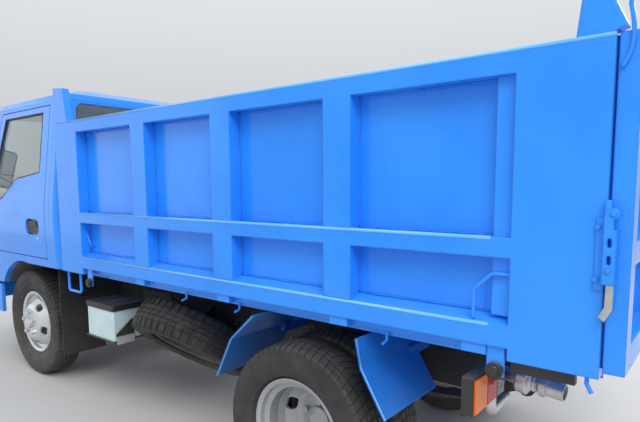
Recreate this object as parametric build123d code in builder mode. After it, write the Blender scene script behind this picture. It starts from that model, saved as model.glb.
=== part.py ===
# Light tipping truck with a deep ribbed steel body, in millimetres.
# X runs forward, Y to the left and Z up from the ground; the origin lies under the middle.
import os
from math import atan2, cos, hypot, radians, sin, sqrt

from build123d import *

os.makedirs("parts", exist_ok=True)

# Gaps between pieces
seat_gap = 0.3
weld = 1

# Wheels and axles
wheelbase = 2530
rear_axle_x = -1180
front_axle_x = rear_axle_x + wheelbase
front_tyre_r = 372
rear_tyre_r = 354
tyre_w = 185
rim_seat_r = 203
rim_flange_r = 216
rim_half_w = 68
flange_t = 8
rim_well_r = 172
dish = 107.5
disc_t = 8
front_wheel_y = 650
rear_wheel_y = 755
twin_spacing = 2 * dish
nut_circle_r = 75
nut_r = 15
nut_count = 5
hand_hole_r = 138
drum_r = 125
drum_wall = 12
spindle_r = 26
kingpin_y = 545
kingpin_r = 16

# Chassis
rail_y = 340
rail_h = 160
rail_flange = 55
rail_t = 6
rail_z = 505
rail_top = rail_z + rail_h
rail_front_x = 2232
rail_taper_z = 598
spring_y = 312
spring_w = 60
leaf_t = 9

# Tipping body
bed_half_w = 810
bed_rear_x = -2235
bed_length = 2945
bed_front_x = bed_rear_x + bed_length
bed_top = 1695
bed_bottom = 814
floor_z = 870
floor_t = 8
side_depth = 60
plate_t = 6
rail_band = 67
mid_rail_z = 1114
mid_rail_h = 60
sill_z = 850
sill_top = 917
sill_ledge = 940
front_plate_w = 250
rear_plate_w = 241
member_h = 62
sill_rail_y = 300
sill_rail_w = 60
sill_rail_z = 675
member_z = floor_z - floor_t - member_h
tip_x = -1960
tip_z = 715
rail_rear_x = tip_x - 50
rail_taper_x = tip_x + 180
tip_pin_r = 18

# Tailgate
gate_gap = 6
gate_t = 52
gate_half_w = 800
gate_bottom = 830
gate_pin_x = -2270
gate_pin_z = 1865
gate_pin_r = 10
post_top = 1900

# Cab
cab_rear_x = 795
cab_wall = 38
cab_floor_z = 805
roof_seam_z = 1858
rear_seam_x = 900
riser_z = 990
cab_pin = (2265, 560)
cab_pin_r = 14
arch_r = 440
door_rear_x = 958
door_front_x = 1895
door_bottom = 855
door_gap = 5
glass_t = 5

# Hoist
hoist_base = (tip_x + 130, 450)
hoist_eye = (tip_x + 420, 745)
barrel_r = 44
rod_r = 22
hoist_pin_r = 18
hoist_half_w = 50
eye_pin_r = 10
eye_slack = 10.5

sides = ((1, "left"), (-1, "right"))


def wheel_plane(centre):
    """Plane through an axle line: its first axis is Y, its second Z."""
    return Plane(origin=centre, x_dir=(0, 1, 0), z_dir=(1, 0, 0))


def side_plane(y):
    """Upright plane along the truck at y, extruding towards -Y."""
    return Plane.XZ.offset(-y)


def turn(points, centre):
    """Revolve an outline of (along the axle, radius) points about the axle line."""
    with BuildSketch(wheel_plane(centre)) as outline:
        with BuildLine():
            Polyline(*points, close=True)
        make_face()
    revolve(outline.sketch, axis=Axis(centre, (0, 1, 0)))


def tyre(centre, radius):
    """Tyre with bulged walls, seated on the rim's bead."""
    bead = rim_seat_r + seat_gap
    inner = rim_half_w - flange_t - seat_gap
    wall = tyre_w / 2
    shoulder = wall * 0.82
    with BuildSketch(wheel_plane(centre)) as section:
        with BuildLine():
            Line((-inner, bead), (inner, bead))
            Line((inner, bead), (inner, rim_flange_r + 3))
            ThreePointArc((inner, rim_flange_r + 3), (wall - 6, radius - 112), (wall, radius - 74))
            ThreePointArc((wall, radius - 74), (wall - 3, radius - 32), (shoulder, radius - 8))
            ThreePointArc((shoulder, radius - 8), (0, radius), (-shoulder, radius - 8))
            ThreePointArc((-shoulder, radius - 8), (-wall + 3, radius - 32), (-wall, radius - 74))
            ThreePointArc((-wall, radius - 74), (-wall + 6, radius - 112), (-inner, rim_flange_r + 3))
            Line((-inner, rim_flange_r + 3), (-inner, bead))
        make_face()
    revolve(section.sketch, axis=Axis(centre, (0, 1, 0)))


def rim(centre, bulge):
    """Rim and dished disc; the disc bulges towards +Y where bulge is 1 and -Y where it is -1."""
    seat = rim_half_w - flange_t
    barrel = (
        (-rim_half_w, rim_flange_r), (-seat, rim_flange_r), (-seat, rim_seat_r),
        (-seat + 22, rim_seat_r - 2), (-seat + 30, rim_well_r + 7), (seat - 30, rim_well_r + 7),
        (seat - 22, rim_seat_r - 2), (seat, rim_seat_r), (seat, rim_flange_r),
        (rim_half_w, rim_flange_r), (rim_half_w, rim_flange_r - 8), (seat + 2, rim_seat_r - 7),
        (seat - 20, rim_seat_r - 9), (seat - 28, rim_well_r), (-seat + 28, rim_well_r),
        (-seat + 20, rim_seat_r - 9), (-seat - 2, rim_seat_r - 7), (-rim_half_w, rim_flange_r - 8),
    )
    turn(barrel, centre)
    disc = (
        (20, rim_well_r + 3), (52, 164), (92, 128), (dish, 104), (dish, 40),
        (dish - disc_t, 40), (dish - disc_t, 98), (84, 122), (46, 156), (14, rim_well_r - 4),
    )
    turn([(bulge * along, radius) for along, radius in disc], centre)
    face = Plane(origin=centre, x_dir=(1, 0, 0), z_dir=(0, bulge, 0))
    with BuildSketch(face.offset(16)) as hand_holes:
        with PolarLocations(hand_hole_r, nut_count, start_angle=18):
            SlotOverall(62, 34, rotation=90)
    extrude(hand_holes.sketch, amount=dish, mode=Mode.SUBTRACT)


def wheel_nuts(centre, face_at, out):
    """Nuts on the disc's bolting face, which lies face_at along Y from the centre."""
    origin = (centre[0], centre[1] + face_at, centre[2])
    with BuildSketch(Plane(origin=origin, x_dir=(1, 0, 0), z_dir=(0, out, 0))) as nuts:
        with PolarLocations(nut_circle_r, nut_count, start_angle=-18):
            RegularPolygon(nut_r, 6)
    extrude(nuts.sketch, amount=20)


# Front wheels: rim, hub and brake drum in one turning piece
for side, name in sides:
    centre = (front_axle_x, side * front_wheel_y, front_tyre_r)
    with BuildPart() as front_rim:
        rim(centre, side)
        hub = (
            (62, 0), (62, spindle_r + 1), (-40, spindle_r + 1), (-40, 48), (32, 48),
            (32, drum_r - drum_wall), (-56, drum_r - drum_wall), (-56, drum_r), (40, drum_r),
            (40, 48), (dish - 3, 48), (dish - 3, 38), (dish + 20, 34), (dish + 25, 0),
        )
        turn([(side * along, radius) for along, radius in hub], centre)
        wheel_nuts(centre, side * dish, side)
    front_rim.part.label = f"front_rim_{name}"
    export_step(front_rim.part, f"parts/front_rim_{name}.step")

    with BuildPart() as front_tyre:
        tyre(centre, front_tyre_r)
    front_tyre.part.label = f"front_tyre_{name}"
    export_step(front_tyre.part, f"parts/front_tyre_{name}.step")

# Rear wheels: twin rims bolted back to back on one hub
mating_y = rear_wheel_y - dish
for side, name in sides:
    outer = (rear_axle_x, side * rear_wheel_y, rear_tyre_r)
    inner = (rear_axle_x, side * (rear_wheel_y - twin_spacing), rear_tyre_r)
    middle = (rear_axle_x, 0, rear_tyre_r)
    with BuildPart() as rear_rims:
        rim(outer, -side)
        rim(inner, side)
        hub = (
            (600, 0), (600, 31), (505, 31), (505, 55), (594, 55), (594, 124), (500, 124),
            (500, 138), (606, 138), (606, 55), (mating_y + 30, 55), (mating_y + 42, 30), (mating_y + 42, 0),
        )
        turn([(side * along, radius) for along, radius in hub], middle)
        wheel_nuts(middle, side * (mating_y + disc_t), side)
    rear_rims.part.label = f"rear_rims_{name}"
    export_step(rear_rims.part, f"parts/rear_rims_{name}.step")

    with BuildPart() as rear_tyres:
        tyre(outer, rear_tyre_r)
        tyre(inner, rear_tyre_r)
    rear_tyres.part.label = f"rear_tyres_{name}"
    export_step(rear_tyres.part, f"parts/rear_tyres_{name}.step")

# Front axle: dropped beam with an eye for each kingpin
eye_r = 30
eye_z = (front_tyre_r - 36, front_tyre_r + 36)
beam_top = 318
beam_bottom = 262
with BuildPart() as front_axle:
    with BuildSketch(Plane.YZ.offset(front_axle_x)):
        with BuildLine():
            Polyline(
                (0, beam_top), (350, beam_top), (420, 338), (500, eye_z[1] - 12),
                (kingpin_y - 12, eye_z[1] - 8), (kingpin_y - 12, eye_z[0] + 4), (505, eye_z[0] + 4),
                (430, 284), (360, beam_bottom), (0, beam_bottom), close=True,
            )
        make_face()
        mirror(about=Plane.YZ)
    extrude(amount=28, both=True)
    with BuildSketch(Plane.XY.offset(eye_z[0])):
        with Locations((front_axle_x, kingpin_y), (front_axle_x, -kingpin_y)):
            Circle(eye_r)
    extrude(amount=eye_z[1] - eye_z[0])
    with BuildSketch(Plane.XY.offset(eye_z[0])):
        with Locations((front_axle_x, kingpin_y), (front_axle_x, -kingpin_y)):
            Circle(kingpin_r + seat_gap)
    extrude(amount=eye_z[1] - eye_z[0], mode=Mode.SUBTRACT)
front_axle.part.label = "front_axle"
export_step(front_axle.part, "parts/front_axle.step")

# Knuckles: fork round the beam's eye, spindle, brake backing plate and steering arm
arm_length = 150
arm_z = eye_z[0] - 24
fork_gap = 1.5
for side, name in sides:
    pin_y = side * kingpin_y
    with BuildPart() as knuckle:
        with BuildSketch(Plane.XY.offset(eye_z[0] - 32)):
            with Locations((front_axle_x, pin_y)):
                Circle(kingpin_r)
        extrude(amount=eye_z[1] - eye_z[0] + 64)
        for low, high in ((eye_z[0] - 34, eye_z[0] - fork_gap), (eye_z[1] + fork_gap, eye_z[1] + 34)):
            with BuildSketch(Plane.XY.offset(low)):
                with Locations((front_axle_x, pin_y)):
                    Circle(28)
                with Locations((front_axle_x, pin_y + side * 20)):
                    Rectangle(48, 40)
            extrude(amount=high - low)
        with BuildSketch(side_plane(pin_y + side * 31)):
            with Locations((front_axle_x, front_tyre_r)):
                Rectangle(60, 136)
        extrude(amount=-side * 12)
        with BuildSketch(side_plane(pin_y + side * 31)):
            with Locations((front_axle_x, front_tyre_r)):
                Circle(spindle_r)
        extrude(amount=-side * 130)
        with BuildSketch(side_plane(pin_y + side * 39)):
            with Locations((front_axle_x, front_tyre_r)):
                Circle(drum_r)
        extrude(amount=-side * 4)
        with BuildSketch(Plane.XY.offset(arm_z - 10)):
            with Locations((front_axle_x - arm_length / 2, pin_y)):
                Rectangle(arm_length, 26)
            with Locations((front_axle_x - arm_length, pin_y)):
                Circle(19)
                Circle(10 + seat_gap, mode=Mode.SUBTRACT)
        extrude(amount=20)
    knuckle.part.label = f"knuckle_{name}"
    export_step(knuckle.part, f"parts/knuckle_{name}.step")

# Tie rod: tube with a ball pin at each end, behind the axle
rod_x = front_axle_x - arm_length
rod_z = arm_z - 40
with BuildPart() as tie_rod:
    with BuildSketch(Plane.XZ):
        with Locations((rod_x, rod_z)):
            Circle(13)
    extrude(amount=kingpin_y - 6, both=True)
    for side, name in sides:
        with BuildSketch(Plane.XY.offset(rod_z - 18)):
            with Locations((rod_x, side * kingpin_y)):
                Circle(20)
        extrude(amount=38)
        with BuildSketch(Plane.XY.offset(rod_z)):
            with Locations((rod_x, side * kingpin_y)):
                Circle(10)
        extrude(amount=arm_z + 18 - rod_z)
tie_rod.part.label = "tie_rod"
export_step(tie_rod.part, "parts/tie_rod.step")

# Rear axle: tube, differential case with its nose, and brake backing plates
tube_r = 52
case_r = 116
with BuildPart() as rear_axle:
    with BuildSketch(side_plane(0)):
        with Locations((rear_axle_x, rear_tyre_r)):
            Circle(tube_r)
    extrude(amount=482, both=True)
    with BuildSketch(side_plane(0)):
        with Locations((rear_axle_x, rear_tyre_r)):
            Circle(30)
    extrude(amount=590, both=True)
    with BuildSketch(side_plane(0)):
        with Locations((rear_axle_x, rear_tyre_r)):
            Circle(drum_r)
    extrude(amount=494, both=True)
    with BuildSketch(side_plane(0)):
        with Locations((rear_axle_x, rear_tyre_r)):
            Rectangle(3 * drum_r, 3 * drum_r)
            Circle(tube_r, mode=Mode.SUBTRACT)
    extrude(amount=488, both=True, mode=Mode.SUBTRACT)
    with BuildSketch(wheel_plane((rear_axle_x, 0, rear_tyre_r))):
        with BuildLine():
            Polyline(
                (-110, 0), (-110, tube_r), (-60, case_r), (60, case_r), (110, tube_r), (110, 0), close=True,
            )
        make_face()
    revolve(axis=Axis((rear_axle_x, 0, rear_tyre_r), (0, 1, 0)))
    with BuildSketch(Plane.YZ.offset(rear_axle_x)):
        with Locations((0, rear_tyre_r)):
            Circle(76)
    with BuildSketch(Plane.YZ.offset(rear_axle_x + 200)):
        with Locations((0, rear_tyre_r + 20)):
            Circle(46)
    loft()
rear_axle.part.label = "rear_axle"
export_step(rear_axle.part, "parts/rear_axle.step")

# Leaf springs: bowed packs in hangers under the rails
# axle x, seat height, leaves, half span, rise at the eyes
spring_table = (
    (front_axle_x, beam_top, 3, 500, 112),
    (rear_axle_x, rear_tyre_r + tube_r, 4, 540, 30),
)
with BuildPart() as leaf_springs:
    for axle_x, seat_z, leaves, half, rise in spring_table:
        top_z = seat_z + leaves * leaf_t
        bend_r = (half * half + rise * rise) / (2 * rise)
        for side, name in sides:
            with BuildSketch(side_plane(side * spring_y)):
                for leaf in range(leaves):
                    reach = half * (1 - 0.24 * leaf)
                    upper = top_z - leaf * leaf_t
                    lift = bend_r - sqrt(bend_r * bend_r - reach * reach)
                    with BuildLine():
                        ThreePointArc(
                            (axle_x - reach, upper + lift), (axle_x, upper), (axle_x + reach, upper + lift),
                        )
                        Line((axle_x + reach, upper + lift), (axle_x + reach, upper + lift - leaf_t))
                        ThreePointArc(
                            (axle_x + reach, upper + lift - leaf_t),
                            (axle_x, upper - leaf_t),
                            (axle_x - reach, upper + lift - leaf_t),
                        )
                        Line((axle_x - reach, upper + lift - leaf_t), (axle_x - reach, upper + lift))
                    make_face()
                with Locations((axle_x - half, top_z + rise - 4), (axle_x + half, top_z + rise - 4)):
                    Circle(18)
            extrude(amount=spring_w / 2, both=True)
            with BuildSketch(side_plane(side * spring_y)):
                for eye_x in (axle_x - half, axle_x + half):
                    with BuildLine():
                        Polyline(
                            (eye_x - 34, rail_z), (eye_x + 34, rail_z),
                            (eye_x + 16, top_z + rise - 16), (eye_x - 16, top_z + rise - 16), close=True,
                        )
                    make_face()
            extrude(amount=spring_w / 2 - 4, both=True)
leaf_springs.part.label = "leaf_springs"
export_step(leaf_springs.part, "parts/leaf_springs.step")

# Frame rails: channels tapered at the rear, with body hinge plates, cab pins and towing eyes
pad_places = (520, -300)
tow_x = 2110
tow_z = 372
tow_eye_r = 15
tow_plate_l = 80
ear_t = 12
with BuildPart() as frame_rails:
    for side, name in sides:
        with BuildSketch(Plane.YZ.offset(rail_rear_x)):
            with Locations((side * (rail_y - rail_flange / 2), rail_z + rail_h / 2)):
                Rectangle(rail_flange, rail_h)
            with Locations((side * (rail_y - rail_t - rail_flange / 2), rail_z + rail_h / 2)):
                Rectangle(rail_flange, rail_h - 2 * rail_t, mode=Mode.SUBTRACT)
        extrude(amount=rail_front_x - rail_rear_x)
    with BuildSketch(side_plane(0)):
        with BuildLine():
            Polyline((rail_taper_x, rail_z), (rail_rear_x, rail_taper_z), (rail_rear_x, rail_z), close=True)
        make_face()
    extrude(amount=2 * rail_y, both=True, mode=Mode.SUBTRACT)
    for side, name in sides:
        with BuildSketch(side_plane(side * rail_y)):
            with BuildLine():
                Polyline(
                    (rail_taper_x, rail_z), (rail_taper_x, rail_z + rail_t),
                    (rail_rear_x, rail_taper_z + rail_t), (rail_rear_x, rail_taper_z), close=True,
                )
            make_face()
        extrude(amount=side * rail_flange)
        with BuildSketch(side_plane(side * rail_y)):
            with Locations((tip_x, (rail_taper_z + 10 + tip_z) / 2)):
                Rectangle(100, tip_z - rail_taper_z - 10)
            with Locations((tip_x, tip_z)):
                Circle(40)
        extrude(amount=-side * ear_t)
        with BuildSketch(side_plane(side * (rail_y + ear_t))):
            with Locations((tip_x, tip_z)):
                Circle(tip_pin_r)
        extrude(amount=side * 96)
        with BuildSketch(side_plane(side * rail_y)):
            with Locations(cab_pin):
                Circle(cab_pin_r)
        extrude(amount=-side * 40)
        with BuildSketch(side_plane(side * rail_y)):
            with Locations((cab_pin[0] - 20, rail_z + 60)):
                Rectangle(90, 100)
        extrude(amount=side * 20)
        with BuildSketch(Plane.XY.offset(rail_top - weld)):
            for pad_x in pad_places:
                with Locations((pad_x, side * sill_rail_y)):
                    Rectangle(90, 28)
        extrude(amount=sill_rail_z - seat_gap - rail_top + weld)
        with BuildSketch(side_plane(side * spring_y)):
            with Locations((tow_x, (rail_z + tow_z - 20) / 2)):
                Rectangle(tow_plate_l, rail_z + weld - tow_z + 20)
            with Locations((tow_x, tow_z)):
                Circle(tow_eye_r, mode=Mode.SUBTRACT)
        extrude(amount=ear_t / 2, both=True)
frame_rails.part.label = "frame_rails"
export_step(frame_rails.part, "parts/frame_rails.step")

# Cross-members of folded plate; the rear ones carry the hoist's ears and the plate carrier
# middle x, length along the rails, bottom, top
member_table = (
    (2160, 70, rail_z + rail_t, rail_top - rail_t),
    (1900, 60, rail_z + rail_t, 560),
    (400, 60, 600, rail_top - rail_t),
    (-480, 60, 590, rail_top - rail_t),
    (-1330, 60, 590, rail_top - rail_t),
    (tip_x + 55, 60, 576, rail_top - rail_t),
    (tip_x - 20, 50, 605, rail_top - rail_t),
)
plate_holes = 210
plate_hole_r = 3.5
carrier_x = tip_x - 49
carrier_z = 628
with BuildPart() as cross_members:
    for middle_x, length, low, high in member_table:
        with BuildSketch(Plane.XY.offset(low)):
            with Locations((middle_x, 0)):
                Rectangle(length, 2 * (rail_y - rail_t))
        extrude(amount=high - low)
        with BuildSketch(Plane.XY.offset(low - 1)):
            with Locations((middle_x + rail_t, 0)):
                Rectangle(length, 2 * (rail_y - 50))
        extrude(amount=high - low - rail_t + 1, mode=Mode.SUBTRACT)
    for side, name in sides:
        with BuildSketch(side_plane(side * (hoist_half_w + 1.5))):
            with BuildLine():
                Polyline(
                    (tip_x + 26, 655), (tip_x + 84, 655), (tip_x + 84, 560), (hoist_base[0] + 28, hoist_base[1] + 8),
                    (hoist_base[0] - 18, hoist_base[1] - 24), (tip_x + 26, 577), close=True,
                )
            make_face()
            with Locations(hoist_base):
                Circle(30)
        extrude(amount=-side * ear_t)
    with BuildSketch(side_plane(0)):
        with Locations(hoist_base):
            Circle(hoist_pin_r)
    extrude(amount=hoist_half_w + ear_t, both=True)
    with BuildSketch(Plane.YZ.offset(carrier_x)):
        with Locations((0, carrier_z)):
            Rectangle(plate_holes + 130, 60)
    extrude(amount=5)
    with BuildSketch(Plane.YZ.offset(carrier_x)):
        with Locations((0, carrier_z)):
            with GridLocations(plate_holes, 0, 2, 1):
                Circle(plate_hole_r)
    extrude(amount=12, mode=Mode.SUBTRACT)
cross_members.part.label = "cross_members"
export_step(cross_members.part, "parts/cross_members.step")

# Engine and gearbox: plain block with its mounting feet on the rails
shaft_x = 450
with BuildPart() as engine:
    with BuildSketch(Plane.XY.offset(345)):
        with Locations((1175, 0)):
            RectangleRounded(650, 440, 40)
    extrude(amount=430)
    with BuildSketch(Plane.YZ.offset(850 + weld)):
        with Locations((0, 560)):
            RectangleRounded(360, 340, 60)
    with BuildSketch(Plane.YZ.offset(shaft_x)):
        with Locations((0, 505)):
            RectangleRounded(170, 170, 40)
    loft()
    with BuildSketch(Plane.XY.offset(rail_z + rail_t)):
        with Locations((960, 0), (1420, 0)):
            Rectangle(60, 2 * (rail_y - rail_t - seat_gap))
    extrude(amount=90)
engine.part.label = "engine"
export_step(engine.part, "parts/engine.step")

# Propeller shaft: runs from the gearbox down to the differential's nose
shaft_start = (shaft_x - seat_gap, 0, 505)
shaft_end = (rear_axle_x + 200, 0, rear_tyre_r + 20)
shaft_run = Vector(*shaft_end) - Vector(*shaft_start)
with BuildPart() as propeller_shaft:
    with BuildSketch(Plane(origin=shaft_start, x_dir=(0, 1, 0), z_dir=(-1, 0, 0))):
        Circle(30)
    extrude(amount=-shaft_run.X, dir=shaft_run.normalized())
propeller_shaft.part.label = "propeller_shaft"
export_step(propeller_shaft.part, "parts/propeller_shaft.step")

# Hoist: cylinder between the rails, pinned to the frame behind the axle
hoist_length = hypot(hoist_eye[0] - hoist_base[0], hoist_eye[1] - hoist_base[1])
hoist_angle = atan2(hoist_eye[1] - hoist_base[1], hoist_eye[0] - hoist_base[0])
along_hoist = (cos(hoist_angle), 0, sin(hoist_angle))
hoist_origin = (hoist_base[0], 0, hoist_base[1])
barrel_end = hoist_length - 52
gland_t = 20
barrel_start = 50
hoist_plane = Plane(origin=hoist_origin, x_dir=(0, 1, 0), z_dir=along_hoist)
eye_half_w = 18
eye_r = 36
with BuildPart() as hoist_barrel:
    with BuildSketch(hoist_plane.offset(barrel_start)):
        Circle(barrel_r)
    extrude(amount=barrel_end - barrel_start)
    with BuildSketch(hoist_plane.offset(barrel_start + 14)):
        Circle(barrel_r - 7)
    extrude(amount=barrel_end - barrel_start - 14 - gland_t, mode=Mode.SUBTRACT)
    with BuildSketch(hoist_plane.offset(barrel_start + 14)):
        Circle(rod_r + seat_gap)
    extrude(amount=barrel_end, mode=Mode.SUBTRACT)
    with BuildSketch(hoist_plane.offset(20)):
        Rectangle(2 * eye_half_w, 60)
    extrude(amount=46)
    with BuildSketch(side_plane(0)):
        with Locations(hoist_base):
            Circle(34)
    extrude(amount=hoist_half_w, both=True)
    with BuildSketch(side_plane(0)):
        with Locations(hoist_base):
            Circle(hoist_pin_r + seat_gap)
    extrude(amount=hoist_half_w, both=True, mode=Mode.SUBTRACT)
hoist_barrel.part.label = "hoist_barrel"
export_step(hoist_barrel.part, "parts/hoist_barrel.step")

rod_start = barrel_start + 18
with BuildPart() as hoist_rod:
    with BuildSketch(hoist_plane.offset(rod_start)):
        Circle(rod_r)
    extrude(amount=hoist_length - rod_start - 28)
    with BuildSketch(hoist_plane.offset(rod_start)):
        Circle(barrel_r - 7 - seat_gap)
    extrude(amount=24)
    with BuildSketch(side_plane(0)):
        with Locations(hoist_eye):
            Circle(eye_r)
            Circle(eye_pin_r + eye_slack, mode=Mode.SUBTRACT)
    extrude(amount=eye_half_w, both=True)
hoist_rod.part.label = "hoist_rod"
export_step(hoist_rod.part, "parts/hoist_rod.step")

# Fuel tank on the right rail
tank_x = 300
with BuildPart() as fuel_tank:
    with BuildSketch(Plane.YZ.offset(tank_x - 330)):
        with Locations((-545, 530)):
            RectangleRounded(330, 270, 50)
    extrude(amount=660)
    with BuildSketch(Plane.XY.offset(560)):
        with Locations((tank_x - 200, -rail_y - 25), (tank_x + 200, -rail_y - 25)):
            Rectangle(50, 50)
    extrude(amount=70)
    with BuildSketch(Plane.XY.offset(664)):
        with Locations((tank_x + 250, -600)):
            Circle(38)
    extrude(amount=34)
fuel_tank.part.label = "fuel_tank"
export_step(fuel_tank.part, "parts/fuel_tank.step")

# Battery: pale case in a black tray that hangs from the left rail
battery_x = 425
battery_l = 290
battery_y = (560, 740)
battery_z = (430, 605)
tray_t = 8
with BuildPart() as battery_case:
    with BuildSketch(Plane.XY.offset(battery_z[0])):
        with Locations((battery_x, sum(battery_y) / 2)):
            RectangleRounded(battery_l, battery_y[1] - battery_y[0], 10)
    extrude(amount=battery_z[1] - battery_z[0])
battery_case.part.label = "battery_case"
export_step(battery_case.part, "parts/battery_case.step")

with BuildPart() as battery_tray:
    with BuildSketch(Plane.XY.offset(battery_z[0] - tray_t)):
        with Locations((battery_x, (rail_y + battery_y[1] + 8) / 2)):
            Rectangle(battery_l + 20, battery_y[1] + 8 - rail_y)
    extrude(amount=tray_t)
    with BuildSketch(side_plane(rail_y)):
        with Locations((battery_x, (battery_z[0] + rail_top - 20) / 2)):
            Rectangle(battery_l + 20, rail_top - 20 - battery_z[0])
    extrude(amount=-tray_t)
    with BuildSketch(Plane.XY.offset(battery_z[1])):
        with Locations((battery_x, sum(battery_y) / 2)):
            RectangleRounded(battery_l + 14, battery_y[1] - battery_y[0] + 12, 12)
    extrude(amount=32)
battery_tray.part.label = "battery_tray"
export_step(battery_tray.part, "parts/battery_tray.step")

# Spare wheel: hangs under the body, its underside turned outward
spare_tilt = 37
spare_centre = Vector(-100, 466, 459)
spare_r = 350
spare_up = Vector(0, -sin(radians(spare_tilt)), cos(radians(spare_tilt)))
spare_turn = Plane(origin=spare_centre, x_dir=(1, 0, 0), z_dir=spare_up)
with BuildPart() as spare_tyre:
    tyre((0, 0, 0), spare_r)
spare_stand = Location((0, 0, 0), (90, 0, 0))
spare_tyre.part = spare_turn.location * spare_stand * spare_tyre.part
spare_tyre.part.label = "spare_tyre"
export_step(spare_tyre.part, "parts/spare_tyre.step")

with BuildPart() as spare_rim:
    rim((0, 0, 0), 1)
spare_rim.part = spare_turn.location * spare_stand * spare_rim.part
spare_rim.part.label = "spare_rim"
export_step(spare_rim.part, "parts/spare_rim.step")

# Brackets on the rails: rest for the cab's rear and carrier for the spare wheel's disc
rest_x = 820
rest_y = 310
rest_top = cab_floor_z - seat_gap
hub_at = spare_centre + spare_up * (dish + seat_gap)
hub_edge = Vector(0, cos(radians(spare_tilt)), sin(radians(spare_tilt))) * 40
with BuildPart() as frame_brackets:
    with BuildSketch(Plane.XY.offset(rail_top)):
        with Locations((rest_x, rest_y), (rest_x, -rest_y)):
            Rectangle(40, 50)
    extrude(amount=rest_top - rail_top)
    with BuildSketch(Plane.XY.offset(rest_top)):
        with Locations((rest_x, 0)):
            Rectangle(40, 2 * rest_y + 50)
    extrude(amount=-50)
    with BuildSketch(Plane.YZ.offset(spare_centre.X)):
        with BuildLine():
            Polyline(
                (rail_y, 530), (rail_y, 630), ((hub_at + hub_edge).Y, (hub_at + hub_edge).Z),
                ((hub_at - hub_edge).Y, (hub_at - hub_edge).Z), close=True,
            )
        make_face()
    extrude(amount=30, both=True)
frame_brackets.part.label = "frame_brackets"
export_step(frame_brackets.part, "parts/frame_brackets.step")

# Mudguards: bent plates of two flats before and behind each pair of rear wheels
guard_t = 5
guard_in = 440
guard_out = 830
front_guard = ((-960, 790), (-824, 668), (-727, 485))
rear_guard = ((-1475, 790), (-1497, 685), (-1597, 523))
with BuildPart() as mudguards:
    for side, name in sides:
        for bends in (front_guard, rear_guard):
            with BuildSketch(side_plane(side * guard_in)):
                with BuildLine():
                    Polyline(*bends)
                    offset(amount=guard_t, side=Side.LEFT)
                make_face()
            extrude(amount=-side * (guard_out - guard_in))
            stay_x, stay_z = bends[1]
            with BuildSketch(side_plane(side * rail_y)):
                with Locations((stay_x, stay_z - 18)):
                    Rectangle(30, 40)
            extrude(amount=-side * (guard_in + 60 - rail_y))
mudguards.part.label = "mudguards"
export_step(mudguards.part, "parts/mudguards.step")

# Front splash guards: ribbed plates behind the front wheels, with hanging flaps
splash_x = 900
with BuildPart() as splash_guards:
    for side, name in sides:
        with BuildSketch(Plane.YZ.offset(splash_x)):
            with Locations((side * (rail_y + 750) / 2, 640)):
                Rectangle(750 - rail_y, 280)
        extrude(amount=-5)
        with BuildSketch(Plane.YZ.offset(splash_x - 5)):
            for rib in range(5):
                with Locations((side * 600, 540 + 48 * rib)):
                    Rectangle(280, 12)
        extrude(amount=-7)
        with BuildSketch(Plane.YZ.offset(splash_x)):
            with Locations((side * 600, 365)):
                Rectangle(290, 290)
        extrude(amount=-5)
splash_guards.part.label = "splash_guards"
export_step(splash_guards.part, "parts/splash_guards.step")

# Exhaust: silencer beside the propeller shaft and a tail pipe past the rear
pipe_r = 24
tail_start = Vector(-1930, 520, 667)
tail_run = (Vector(-2096, 535, 652) - tail_start).normalized()
# distance along the tail, radius: bulb, bellows, clamp and open pipe
tail_profile = (
    (0, 0), (0, 24), (4, 24), (11, 43), (18, 47), (46, 47), (55, 31), (62, 24), (68, 30), (74, 24), (80, 30),
    (86, 24), (92, 24), (92, 36), (112, 36), (112, 28), (166, 28), (166, 23), (100, 23), (100, 0),
)
with BuildPart() as exhaust:
    with BuildLine():
        FilletPolyline(
            (300, 190, 440), (-850, 190, 440), (-1000, 190, 462), (-1790, 190, 462), (-1800, 405, 466),
            (-1800, 405, 640), tail_start, tail_start + tail_run * 20,
            radius=36,
        )
    with BuildSketch(Plane(origin=(300, 190, 440), z_dir=(-1, 0, 0))):
        Circle(pipe_r)
    sweep()
    with BuildSketch(Plane(origin=tail_start, x_dir=tail_run, z_dir=tail_run.cross(Vector(0, 0, 1)))):
        with BuildLine():
            Polyline(*tail_profile, close=True)
        make_face()
    revolve(axis=Axis(tail_start, tail_run))
    with BuildSketch(Plane.YZ.offset(-940)):
        with Locations((190, 450)):
            Circle(62)
    extrude(amount=400)
    for hanger_x in (100, -1350):
        with BuildSketch(Plane.YZ.offset(hanger_x)):
            with BuildLine():
                Polyline((180, 450), (200, 450), (310, 492), (310, rail_z), (180, rail_z), close=True)
            make_face()
        extrude(amount=10)
exhaust.part.label = "exhaust"
export_step(exhaust.part, "parts/exhaust.step")

# Tail lamps on a bar across the frame
lamp_rear_x = -1890
lamp_t = 40
with BuildPart() as tail_lamps:
    for side, name in sides:
        with BuildSketch(side_plane(side * rail_y)):
            with Locations((lamp_rear_x + lamp_t + 6, 598)):
                Rectangle(12, 24)
        extrude(amount=-side * 420)
        with BuildSketch(Plane.YZ.offset(lamp_rear_x)):
            with Locations((side * 657, 666)):
                RectangleRounded(265, 124, 8)
        extrude(amount=lamp_t)
tail_lamps.part.label = "tail_lamps"
export_step(tail_lamps.part, "parts/tail_lamps.step")

# Tipping body floor plate
inner_half_w = bed_half_w - side_depth
board_x = bed_front_x - 30
with BuildPart() as bed_floor:
    with BuildSketch(Plane.XY.offset(floor_z - floor_t)):
        with Locations(((board_x + bed_rear_x) / 2, 0)):
            Rectangle(board_x - bed_rear_x, 2 * inner_half_w - 2 * plate_t)
    extrude(amount=floor_t)
bed_floor.part.label = "bed_floor"
export_step(bed_floor.part, "parts/bed_floor.step")

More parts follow.
